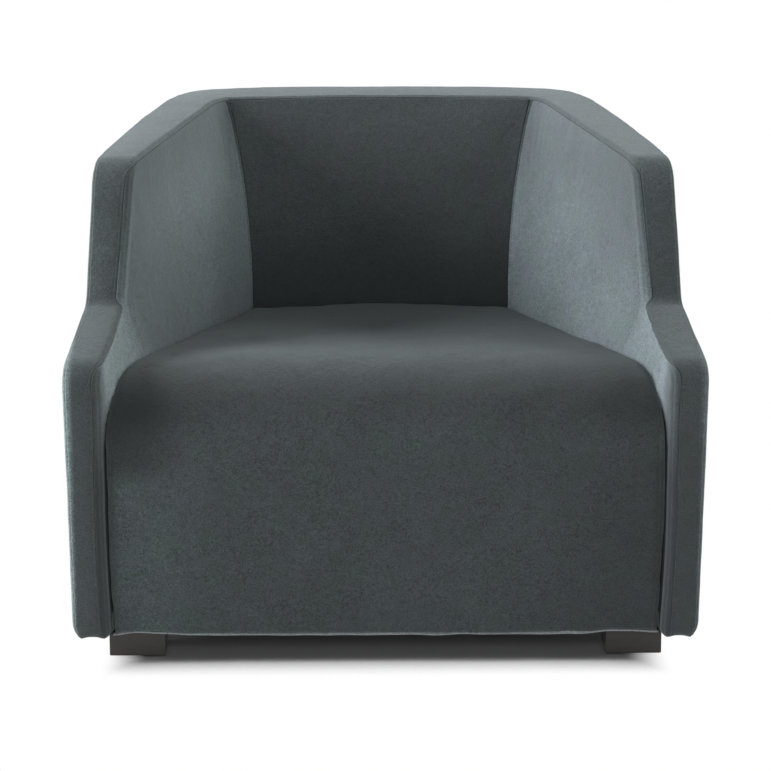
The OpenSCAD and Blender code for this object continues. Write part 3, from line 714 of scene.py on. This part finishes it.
def gap_shade_sheet(side):
    """Thin black sheet on an arm's inner face beside the seat's front: painted shade in the gap.
    """
    d = np.linspace(0.0085, 0.095, 12)[:, None]
    rise_to = np.clip((d - SEAT_FRONT) / ROLL_D, 0, 1)
    top = ROLL_END_H + ROLL_H * (1 - (1 - rise_to) ** ROLL_POWER) ** (1 / ROLL_POWER)
    low = HEM + 0.0015
    z = low + (top - 0.012 - low) * np.linspace(0, 1, 40)[None, :]
    net = points(inner_x(d, z) - 0.0007, d, z)
    net = net if side > 0 else mirrored(net)
    return cloth_piece(f"{NAMES[side]}_gap_shade_sheet", net, (OUTWARDS[0], -1), thickness=0.0004)


# ---------------------------------------------------------------- outer covers and hem
# The outer face seen from above at the height where it doesn't lean.
PLAN = OUTER[ARM_TOP:, :2].copy()
PLAN[:CORNER_FROM - ARM_TOP, 0] = out_x(PLAN[:CORNER_FROM - ARM_TOP, 1], LEAN_Z)
PLAN_RUN = run_along(PLAN)
PLAN_MIDDLE = PLAN_RUN[-1]
CORNER_P = PLAN_RUN[CORNER_MID - ARM_TOP]
HEM_UP = 0.007


def right_run(p):
    """The run on the right half that mirrors a run past the middle of the back."""
    return np.where(p > PLAN_MIDDLE, 2 * PLAN_MIDDLE - p, p)


def outer_face(p, z, lift=0.0):
    """Point of the outer face at run p from the right arm's front, lifted outwards by lift."""
    folded = right_run(p)
    x, d = (np.interp(folded, PLAN_RUN, PLAN[:, i]) for i in range(2))
    along = unit(np.gradient(PLAN, PLAN_RUN, axis=0))
    nx, nd = np.interp(folded, PLAN_RUN, along[:, 1]), np.interp(folded, PLAN_RUN, -along[:, 0])
    out = lift - outer_tuck(d, z)
    x = x + nx * out + leaning(z) * np.clip(nx, 0, 1) ** 2
    return points(np.where(p > PLAN_MIDDLE, -x, x), d + nd * out, z)


def top_of(p):
    """Height of the outer face's top edge."""
    return np.interp(right_run(p), PLAN_RUN, OUTER[ARM_TOP:, 2])


def outline_of_side():
    """Closed outline of a side cover, as run and height, clear of the rounded edge."""
    heights = [HEM, ARM_H, KINK_H, SHOULDER_H, SHELF_H, top_of(CORNER_P), HEM]
    depths = [0, 0, ARM_RUN, SHOULDER_D, SHELF_D]
    runs = [float(np.interp(d, PLAN[:, 1], PLAN_RUN)) for d in depths] + [CORNER_P] * 2
    insets = [OUTER_R] * 5 + [0, HEM_UP - 0.0022]
    loop = [np.array(c, float) for c in zip(runs, heights)]
    corners = []
    for i, corner in enumerate(loop):
        sides = [corner - loop[i - 1], loop[(i + 1) % len(loop)] - corner]
        inward = unit(np.array([[t[1], -t[0]] for t in sides]))
        corners.append(corner + np.linalg.solve(inward, [insets[i - 1], insets[i]]))
    start = (corners[-1] + corners[0]) / 2
    radii = [0, 0.006, PROFILE_R - OUTER_R, KINK_R + OUTER_R, SHOULDER_R - OUTER_R, SHELF_R,
             0.0015, 0.0015, 0]
    return bent_path([start] + corners + [start], radii, [50, 70, 28, 34, 70, 16, 90, 50])


def blurred(values, run, width):
    """Values along a closed outline, eased over a width of it."""
    gap = np.abs(run[:, None] - run[None, :])
    weight = np.exp(-(np.minimum(gap, run[-1] - gap) / width) ** 2)
    return unit(weight @ values)


def outer_side_panel(side):
    """Outer cover of one side: rows run inwards from its closed outline to the middle."""
    outline = outline_of_side()
    run = run_along(outline)
    along = unit(np.gradient(outline, axis=0))
    along[0] = along[-1] = unit(along[0] + along[-1])
    inward = blurred(np.stack([along[:, 1], -along[:, 0]], axis=1), run, 0.005)
    middle = np.array((0.40, 0.33))
    places = [(outline + inward * step, -sunk(step, SEAM_R)) for step in RIM[:8]]
    first = places[-1][0]
    places += [(first + (middle - first) * g, 0.0022 * smooth(g / 0.8))
               for g in np.linspace(0, 1, 46)[1:]]
    flat = np.array([outer_face(pz[:, 0], pz[:, 1]) for pz, _ in places])
    wave = 0.0008 * ripple(flat, 0.15, 61 + side) * smooth(np.arange(len(places)) / 12)[:, None]
    net = np.array([outer_face(pz[:, 0], pz[:, 1], lift + wave[i])
                    for i, (pz, lift) in enumerate(places)])
    net = hung(net if side > 0 else mirrored(net))
    return cloth_piece(f"{NAMES[side]}_outer_panel", net, OUTWARDS, closed=True)


def outer_back_panel():
    """Outer cover of the back, sewn to the side covers at both rear corners."""
    span = 2 * (PLAN_MIDDLE - CORNER_P)
    ends = RIM[:8]
    p = np.concatenate([ends, np.linspace(0.008, span - 0.008, 120), span - ends[::-1]])
    gap = np.minimum(p, span - p)
    p = p + CORNER_P
    top, low = top_of(p) - OUTER_R, np.full(len(p), HEM + HEM_UP)
    height = top - low
    steps = [np.full(len(p), step) for step in ends]
    steps += [ends[-1] + (height - 2 * ends[-1]) * g for g in np.linspace(0, 1, 62)[1:-1]]
    steps += [height - step for step in ends[::-1]]
    step = np.array(steps)
    edge = np.minimum(step, height - step)
    lift = (0.0020 * smooth(edge / 0.12) * smooth(gap / 0.12)
            - sunk(edge, SEAM_R) - sunk(np.broadcast_to(gap, step.shape), SEAM_R))
    z, p = top - step, np.broadcast_to(p, step.shape)
    lift = lift + 0.0008 * ripple(outer_face(p, z), 0.17, 71) * smooth(edge / 0.05)
    return cloth_piece("back_outer_panel", outer_face(p, z, lift), OUTWARDS)


def hem_piece():
    """The rolled lower edge of the outer covers, turned in under the frame."""
    p = np.linspace(UNDER_D - 0.004, 2 * PLAN_MIDDLE - UNDER_D + 0.004, 420)
    base = outer_face(p, HEM)
    along = unit(np.gradient(base, axis=0))
    inward = np.stack([-along[:, 1], along[:, 0], np.zeros(len(p))], axis=1)
    up = unit(outer_face(p, HEM + HEM_UP) - base)
    rows, relief = [], []
    for q in np.array([7, 6.6, 6.2, 5.6, 4.9, 4, 3, 2, 1, 0, -1, -2, -3, -4.2, -6, -9, -14, -20,
                       -26]) / 1000:
        rows.append(rounded_edge(base, up, inward, 0.0055, q))
        relief.append(np.full(len(p), -float(sunk(HEM_UP - q, SEAM_R)) if q > 0 else 0.0))
    net = np.array(rows)
    relief = np.array(relief) + 0.0004 * ripple(net, 0.05, 81)
    return cloth_piece("outer_hem", hung(raised(net, relief, OUTWARDS)), OUTWARDS)


def seat_hem():
    """The rolled lower edge of the seat's front."""
    half = float(inner_x(SEAT_FRONT, HEM)) - 0.004
    x = np.linspace(-half, half, 260)
    wave = 0.0006 * ripple(points(x, 0, 0), 0.035, 91)
    centre_z = HEM + 0.0020 + wave + hem_rise(x)
    radius = 0.0024 - 0.0012 * smooth((np.abs(x) - 0.255) / 0.05)
    rows = [points(x, SEAT_FRONT + 0.0012 - radius * 0.8 * math.cos(a),
                   centre_z + radius * math.sin(a))
            for a in np.radians(np.linspace(115, -100, 22))]
    rows += [points(x, SEAT_FRONT + back, centre_z - 0.9 * radius)
             for back in (0.008, 0.016, 0.024)]
    middle = (0, SEAT_FRONT + 0.010, HEM + 0.006)
    return cloth_piece("seat_hem", np.array(rows), (middle, 1), thickness=0.0008)


# ---------------------------------------------------------------- materials
def plug(tree, made, inputs):
    """The node with each input set to a value or linked from a socket."""
    for key, value in inputs.items():
        if isinstance(value, bpy.types.NodeSocket):
            tree.links.new(value, made.inputs[key])
        else:
            made.inputs[key].default_value = value
    return made


def node(tree, kind, inputs=None, **settings):
    """A new shader node with these settings and inputs."""
    made = tree.nodes.new(f"ShaderNode{kind}")
    for key, value in settings.items():
        setattr(made, key, value)
    return plug(tree, made, inputs or {})


def laid_out(tree):
    """The tree with its nodes in columns, by how many links they are from the output."""
    steps = {made: 0 for made in tree.nodes}
    for _ in tree.nodes:
        for link in tree.links:
            steps[link.from_node] = max(steps[link.from_node], steps[link.to_node] + 1)
    rows = {}
    for made, step in steps.items():
        rows[step] = rows.get(step, 0) + 1
        made.location = (-250 * step, -300 * rows[step])
    return tree


def group(name, inputs, outputs):
    """A node group with one number out for each output, and its input and output nodes."""
    tree = bpy.data.node_groups.new(name, "ShaderNodeTree")
    tree.interface.new_socket("Coordinates", in_out="INPUT", socket_type="NodeSocketVector")
    for label, value in inputs.items():
        socket = tree.interface.new_socket(label, in_out="INPUT", socket_type="NodeSocketFloat")
        socket.default_value = value
    for label in outputs:
        tree.interface.new_socket(label, in_out="OUTPUT", socket_type="NodeSocketFloat")
    return tree, tree.nodes.new("NodeGroupInput").outputs, tree.nodes.new("NodeGroupOutput")


def noise(tree, coords, scale, detail, rough=0.5, distortion=0.0):
    return node(tree, "TexNoise", {"Vector": coords, "Scale": scale, "Detail": detail,
                                   "Roughness": rough, "Distortion": distortion}).outputs["Fac"]


def remap(tree, value, low, high, to_low=0.0, to_high=1.0, kind="LINEAR"):
    return node(tree, "MapRange", {"Value": value, "From Min": low, "From Max": high,
                                   "To Min": to_low, "To Max": to_high},
                interpolation_type=kind).outputs["Result"]


def calc(tree, operation, a, b=0.0):
    return node(tree, "Math", {0: a, 1: b}, operation=operation).outputs[0]


def pile_group():
    """Short pile: brushed patches and flecks in its shade, and the relief of the tufts."""
    tree, given, end = group(
        "Velvet pile", {"Patch Strength": 0.22, "Grain Strength": 0.85, "Mark Depth": 0.5},
        ["Shade", "Height", "Nap", "Hue"])
    coords = given["Coordinates"]
    broad = noise(tree, coords, 9.0, 3.0, 0.55, 0.4)
    patch = noise(tree, coords, 34.0, 3.0, 0.6, 0.8)
    grain = noise(tree, coords, 460.0, 3.0, 0.7)
    fleck = noise(tree, coords, 130.0, 3.0, 0.7, 0.6)
    brushed = calc(tree, "ADD", remap(tree, broad, 0.3, 0.7, -0.6, 0.6),
                   remap(tree, patch, 0.3, 0.7, -0.45, 0.45))
    shade = calc(tree, "MULTIPLY", brushed, given["Patch Strength"])
    mixed = calc(tree, "ADD", calc(tree, "MULTIPLY", grain, 0.75),
                 calc(tree, "MULTIPLY", fleck, 0.25))
    fine = calc(tree, "MULTIPLY", remap(tree, mixed, 0.35, 0.65, -1, 1), given["Grain Strength"])
    marks = calc(tree, "MULTIPLY", brushed, given["Mark Depth"])
    plug(tree, end, {"Shade": calc(tree, "ADD", calc(tree, "ADD", shade, fine), 1.0),
                     "Height": calc(tree, "ADD", mixed, marks), "Nap": brushed,
                     "Hue": noise(tree, coords, 26.0, 2.0, 0.5, 0.5)})
    return laid_out(tree)


def principled(name, colour, roughness):
    """A new material with a Principled BSDF, its tree and its object coordinates."""
    made = bpy.data.materials.new(name)
    made.use_nodes = True
    surfaced(made, {"Base Color": (*colour, 1), "Roughness": roughness})
    return made, made.node_tree, node(made.node_tree, "TexCoord").outputs["Object"]


def surfaced(made, inputs):
    """The material with these inputs of its Principled BSDF set or linked."""
    tree = made.node_tree
    plug(tree, tree.nodes["Principled BSDF"], inputs)
    laid_out(tree)
    return made


def tinted(tree, colour, factor):
    """The colour multiplied by a factor that changes over the surface."""
    return node(tree, "VectorMath", {0: colour, "Scale": factor}, operation="SCALE").outputs[0]


def bump(tree, height, strength, distance):
    return node(tree, "Bump", {"Height": height, "Strength": strength,
                               "Distance": distance}).outputs["Normal"]


VELVET = (0.026, 0.0325, 0.0330)
SHEEN = (0.240, 0.268, 0.278)


def soft_mask(tree, coords, axis, start, end):
    """0 up to start and 1 from end, along an axis or along the distance from the middle."""
    value = node(tree, "SeparateXYZ", {0: coords}).outputs[axis[-1]]
    if axis == "outward X":
        value = calc(tree, "ABSOLUTE", value)
    return remap(tree, value, start, end, kind="SMOOTHSTEP")


def painted_light_patch(tree, coords, factor, masks):
    """Painted light or shade: factor where every mask is 1, and 1 where any of them is 0."""
    total = soft_mask(tree, coords, *masks[0])
    for values in masks[1:]:
        total = calc(tree, "MULTIPLY", total, soft_mask(tree, coords, *values))
    return remap(tree, total, 0, 1, 1.0, factor)


def velvet(pile, name="Slate velvet", shade=1.0, painted_sheen_level=1.0, hue=(1.0, 1.0, 1.0), painted_light_patches=(),
           grain=0.80):
    """Velvet with painted light and shade: lighter or darker by panel and in masked patches."""
    # Painted light: shade and the sheen level scale the panel's colour and sheen to how brightly
    # the panel is lit.
    colour = tuple(v * shade * h for v, h in zip(VELVET, hue))
    sheen = tuple(v * painted_sheen_level * h for v, h in zip(SHEEN, hue))
    made, tree, coords = principled(name, colour, 0.9)
    cloth = node(tree, "Group", {"Coordinates": coords, "Grain Strength": grain},
                 node_tree=pile).outputs
    factor = cloth["Shade"]
    # Painted light and shade in masked patches of the panel.
    for change, *masks in painted_light_patches:
        factor = calc(tree, "MULTIPLY", factor, painted_light_patch(tree, coords, change, masks))
    hues = node(tree, "Mix", {
        "A": (colour[0] * 1.02, colour[1] * 0.97, colour[2] * 1.06, 1),
        "B": (colour[0] * 0.97, colour[1] * 1.03, colour[2] * 0.97, 1),
        "Factor": remap(tree, cloth["Hue"], 0.35, 0.65)}, data_type="RGBA").outputs["Result"]
    return surfaced(made, {
        "Specular IOR Level": 0.05, "Sheen Weight": 1.0, "Sheen Roughness": 0.80,
        "Sheen Tint": (*sheen, 1), "Base Color": tinted(tree, hues, factor),
        "Roughness": remap(tree, cloth["Nap"], -0.8, 0.8, 0.82, 0.98),
        "Normal": bump(tree, cloth["Height"], 0.6, 0.0022)})


def grain_group():
    """Wood grain: bands along one axis, with pores."""
    tree, given, end = group("Wood grain", {}, ["Grain", "Pores"])
    coords = node(tree, "Mapping", {"Vector": given["Coordinates"],
                                    "Scale": (1.0, 12.0, 12.0)}).outputs["Vector"]
    plug(tree, end, {"Grain": noise(tree, coords, 6.0, 5.0, 0.6, 1.2),
                     "Pores": noise(tree, coords, 60.0, 3.0, 0.7)})
    return laid_out(tree)


def wood(grain, name, colour, contrast, roughness, coat):
    made, tree, coords = principled(name, colour, roughness)
    figure = node(tree, "Group", {"Coordinates": coords}, node_tree=grain).outputs
    factor = remap(tree, figure["Grain"], 0.3, 0.7, 1 - contrast, 1 + contrast)
    return surfaced(made, {
        "Coat Weight": coat, "Coat Roughness": 0.30, "Base Color": tinted(tree, colour, factor),
        "Roughness": remap(tree, figure["Pores"], 0.3, 0.7, roughness - 0.08, roughness + 0.08),
        "Normal": bump(tree, figure["Pores"], 0.25, 0.0004)})


def mottled(name, colour, roughness, scale, contrast, depth=0.0004, metallic=0.0):
    """A plain finish with an even mottle of its own scale: foam, board, felt, steel or plastic."""
    made, tree, coords = principled(name, colour, roughness)
    value = noise(tree, coords, scale, 4.0, 0.6)
    factor = remap(tree, value, 0.3, 0.7, 1 - contrast, 1 + contrast)
    return surfaced(made, {
        "Metallic": metallic, "Base Color": tinted(tree, colour, factor),
        "Roughness": remap(tree, value, 0.3, 0.7, roughness - 0.06, roughness + 0.06),
        "Normal": bump(tree, value, 0.4, depth)})


def woven(name, colour, threads, depth):
    """Plain weave: two sets of threads across each other."""
    made, tree, coords = principled(name, colour, 0.85)
    waves = [node(tree, "TexWave", {"Vector": coords, "Scale": threads}, wave_type="BANDS",
                  bands_direction=axis).outputs["Fac"] for axis in "XY"]
    weave = calc(tree, "MAXIMUM", *waves)
    return surfaced(made, {"Base Color": tinted(tree, colour, remap(tree, weave, 0, 1, 0.6, 1.1)),
                         "Normal": bump(tree, weave, 0.6, depth)})


# ---------------------------------------------------------------- the chair
def finished(piece, material, replaces=()):
    piece.data.materials.append(material)
    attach(piece, "root")
    if replaces:
        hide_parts(*replaces)


def depth(start, end):
    """Values for a mask that runs between two depths behind the arms' fronts."""
    return "Y", FRONT + start, FRONT + end


def cover_chair(pile):
    """The cloth pieces, each in its panel's velvet with its own painted light and shade."""
    cloth = velvet(pile)
    # Painted highlight: the seat's hem is a much lighter copy of the velvet, with stronger sheen.
    edge = velvet(pile, "Slate velvet, seat hem, painted highlight", 4.6, 2.6, (1.06, 1.0, 1.0))
    # Black sheet of painted shade for the gaps beside the seat's front.
    lining = mottled("Black sheet, painted gap shade", (0.012, 0.012, 0.013), 0.95, 900, 0.25)
    # Painted shade: the inner back darker towards the seat.
    back = velvet(pile, "Slate velvet, back", painted_light_patches=[(0.30, ("Z", 0.56, 0.40))])
    # Painted light and shade on the edge band: lighter stripes along the arms' outer edges,
    # lighter on the wings' tops and the left arm's slope, darker low at the inner edge of the left
    # arm's front.
    band = velvet(pile, "Slate velvet, edge band", painted_light_patches=[
        (5.0, ("X", -0.4270, -0.4360)), (2.4, ("X", 0.4285, 0.4365)),
        (0.72, ("X", -0.404, -0.396), ("Z", 0.36, 0.30)),
        (1.6, ("Z", 0.60, 0.67), ("outward X", 0.20, 0.27)),
        (1.5, ("X", -0.36, -0.39), ("Z", 0.62, 0.55), ("Z", 0.475, 0.50))])
    # Painted shade on the inner panels: a dark strip where they wrap on to the arms' fronts, and
    # dark low down in the gap beside the seat.
    painted_strip_shade = (0.16, depth(0.030, 0.008))
    painted_gap_shade = (0.15, ("Z", 0.33, 0.25))
    # Painted light and shade on the wings: each is a lighter copy of the velvet with stronger
    # sheen, standing in for the light on it, and lighter and darker in patches by depth and
    # height.
    wings = {
        1: velvet(pile, "Slate velvet, right wing", 4.05, 1.20, (0.99, 1.0, 1.03),
                  [painted_strip_shade, painted_gap_shade, (1.69, depth(0.15, 0.48)), (0.35, ("Z", 0.46, 0.66)),
                   (0.80, depth(0.38, 0.24), ("Z", 0.46, 0.54)), (1.35, depth(0.19, 0.13))],
                  0.62),
        -1: velvet(pile, "Slate velvet, left wing", 4.95, 1.05, (0.99, 1.0, 0.99),
                   [painted_strip_shade, painted_gap_shade, (0.286, depth(0.13, 0.21)), (2.35, depth(0.22, 0.44)),
                    (0.40, ("Z", 0.57, 0.68))], 0.65),
    }
    # Painted light and shade on the seat: darker on its top, its sides and the lower right of its
    # front, darker still low in the gaps beside the arms, a painted shadow of the left arm on the
    # front's upper left corner, and lighter on the lower left of the front.
    cushion = velvet(pile, "Slate velvet, seat", 1.25, 0.80, painted_light_patches=[
        (0.62, ("Z", 0.33, 0.385)), (0.60, ("outward X", 0.16, 0.36), ("Z", 0.30, 0.36)),
        (0.62, ("X", 0.16, 0.36), ("Z", 0.34, 0.28)),
        (1.40, ("X", -0.22, -0.38), ("Z", 0.30, 0.25)),
        (0.40, ("X", -0.26, -0.34), ("Z", 0.25, 0.30), ("Z", 0.395, 0.36)),
        (0.50, ("outward X", 0.366, 0.380), ("Z", 0.32, 0.27)),
        (0.78, ("X", -0.20, -0.33), ("Z", 0.375, 0.400))])
    finished(band_piece(), band, replaces=("edge_band", "left_edge_pad", "right_edge_pad",
                                                 "back_edge_pad"))
    for side in (1, -1):
        name = NAMES[side]
        finished(side_panel(side), wings[side],
                 replaces=(f"{name}_inner_cover", f"{name}_inner_pad"))
        finished(outer_side_panel(side), cloth,
                 replaces=(f"{name}_outer_cover", f"{name}_outer_pad"))
        # Black sheet of painted shade in the gap between the arm and the seat's front.
        finished(gap_shade_sheet(side), lining)
    finished(inner_back_panel(), back, replaces=("inner_back_cover", "inner_back_pad"))
    finished(outer_back_panel(), cloth, replaces=("back_outer_cover", "back_outer_pad"))
    finished(seat_piece(), cushion, replaces=("seat_cover", "seat_wadding", "seat_foam"))
    finished(hem_piece(), cloth)
    # The seat's hem, in the velvet with the painted highlight.
    finished(seat_hem(), edge)


def dress_frame():
    """Finishes for the pieces of the frame, by their slots."""
    grain = grain_group()
    steel = {"depth": 0.0001, "metallic": 1.0}
    finishes = {
        "dark_wood": wood(grain, "Espresso stain", (0.022, 0.017, 0.015), 0.25, 0.42, 0.12),
        "beech": wood(grain, "Raw beech", (0.58, 0.40, 0.23), 0.16, 0.62, 0.0),
        "hardboard": mottled("Hardboard", (0.20, 0.105, 0.050), 0.6, 420, 0.25),
        "foam": mottled("Seat foam", (0.76, 0.70, 0.52), 0.95, 700, 0.08),
        "wadding": mottled("Wadding", (0.86, 0.86, 0.83), 0.98, 260, 0.05, 0.001),
        "webbing": woven("Black webbing", (0.030, 0.030, 0.032), 260, 0.0005),
        "hessian": woven("Hessian", (0.40, 0.29, 0.16), 210, 0.0008),
        "base_cloth": mottled("Black base cloth", (0.018, 0.018, 0.019), 0.95, 900, 0.25),
        "spring_steel": mottled("Spring steel", (0.40, 0.41, 0.43), 0.36, 300, 0.10, **steel),
        "zinc_steel": mottled("Zinc-plated steel", (0.62, 0.63, 0.64), 0.30, 140, 0.12, **steel),
        "black_plastic": mottled("Black plastic", (0.022, 0.022, 0.024), 0.5, 800, 0.12),
    }
    for part in frame["record"]["subparts"]:
        if part["material_slot"] in finishes:
            materials = frame["nodes"][part["node"]].data.materials
            materials.clear()
            materials.append(finishes[part["material_slot"]])


# ---------------------------------------------------------------- studio
def aimed(name, data, place, way):
    """A lamp or camera at a place, looking along way."""
    made = added(name, data)
    made.location = place
    made.rotation_euler = Vector(way).to_track_quat("-Z", "Y").to_euler()
    return made


def area_lamp(name, place, size, power):
    """A lamp that looks at the middle of the chair."""
    data = bpy.data.lights.new(name, "AREA")
    data.shape, data.size, data.size_y, data.energy = "RECTANGLE", size[0], size[1], power
    aimed(name, data, place, Vector((0, 0, 0.40)) - Vector(place))


def bare_tree(owner):
    """The emptied node tree of a world or material."""
    owner.use_nodes = True
    owner.node_tree.nodes.clear()
    return owner.node_tree


def shown(tree, kind, share, first, second):
    """Ends the tree in a mix: the first shader where share is 0, the second where it is 1."""
    mix = node(tree, "MixShader", {0: share, 1: first.outputs[0], 2: second.outputs[0]})
    node(tree, kind, {"Surface": mix.outputs[0]})
    laid_out(tree)


def white_world(strength):
    """Soft grey light for the chair; the camera and reflections see plain white."""
    world = bpy.data.worlds.new("Studio")
    bpy.context.scene.world = world
    tree = bare_tree(world)
    ray = node(tree, "LightPath").outputs
    seen = calc(tree, "MAXIMUM", ray["Is Camera Ray"], ray["Is Transmission Ray"])
    seen = calc(tree, "MAXIMUM", seen, ray["Is Glossy Ray"])
    light = node(tree, "Background", {"Color": (0.96, 0.98, 1, 1), "Strength": strength})
    white = node(tree, "Background", {"Color": (1, 1, 1, 1)})
    shown(tree, "OutputWorld", seen, light, white)


def studio_floor():
    """White floor: near the chair, its shadow on paint darkened for the camera; elsewhere painted
    white.
    """
    bm = bmesh.new()
    bmesh.ops.create_grid(bm, x_segments=1, y_segments=1, size=8)
    floor = meshed("studio_floor", bm)
    made = bpy.data.materials.new("White floor")
    tree = bare_tree(made)
    camera_ray = node(tree, "LightPath").outputs["Is Camera Ray"]
    # Painted shade: the camera sees the floor's paint at 0.36 where the light sees 0.80.
    camera_darkened_paint = node(tree, "BsdfDiffuse", {"Color": remap(tree, camera_ray, 0, 1, 0.80, 0.36)})
    near = node(tree, "AmbientOcclusion", {"Distance": 0.11}, samples=16).outputs["AO"]
    coords = node(tree, "TexCoord").outputs["Object"]
    # Painted plain white where the floor is open to the air and beside the arms, which paints out
    # the arms' shadow.
    painted_white_share = calc(tree, "MAXIMUM", remap(tree, near, 0.42, 0.80),
                    soft_mask(tree, coords, "outward X", 0.335, 0.40))
    shown(tree, "OutputMaterial", calc(tree, "MULTIPLY", painted_white_share, camera_ray), camera_darkened_paint,
          node(tree, "Emission"))
    floor.data.materials.append(made)


def studio_camera():
    """Camera in front of the chair, a little left of its middle, looking slightly down."""
    turn, tilt, lens = 0.0157, 0.2391, 133.91
    way = (math.sin(turn) * math.cos(tilt), math.cos(turn) * math.cos(tilt), -math.sin(tilt))
    data = bpy.data.cameras.new("studio_camera")
    data.lens, data.sensor_width = lens, 36.0
    bpy.context.scene.camera = aimed("studio_camera", data, (-0.0607, -4.200, 1.3273), way)


bpy.context.scene.view_settings.view_transform = "Standard"
studio_camera()
white_world(0.08)
studio_floor()
area_lamp("left_lamp", (-3.0, -0.3, 1.5), (1.4, 1.8), 128)
area_lamp("right_lamp", (3.0, -0.2, 1.5), (1.4, 1.8), 50)
area_lamp("rear_left_lamp", (-2.4, 2.2, 2.0), (1.4, 1.4), 42)
area_lamp("rear_right_lamp", (2.4, 2.2, 2.0), (1.4, 1.4), 75)
area_lamp("front_lamp", (0, -3.4, 1.2), (1.4, 1.4), 32)
area_lamp("top_lamp", (0, 0, 3.0), (1.6, 1.6), 10)

dress_frame()
cover_chair(pile_group())
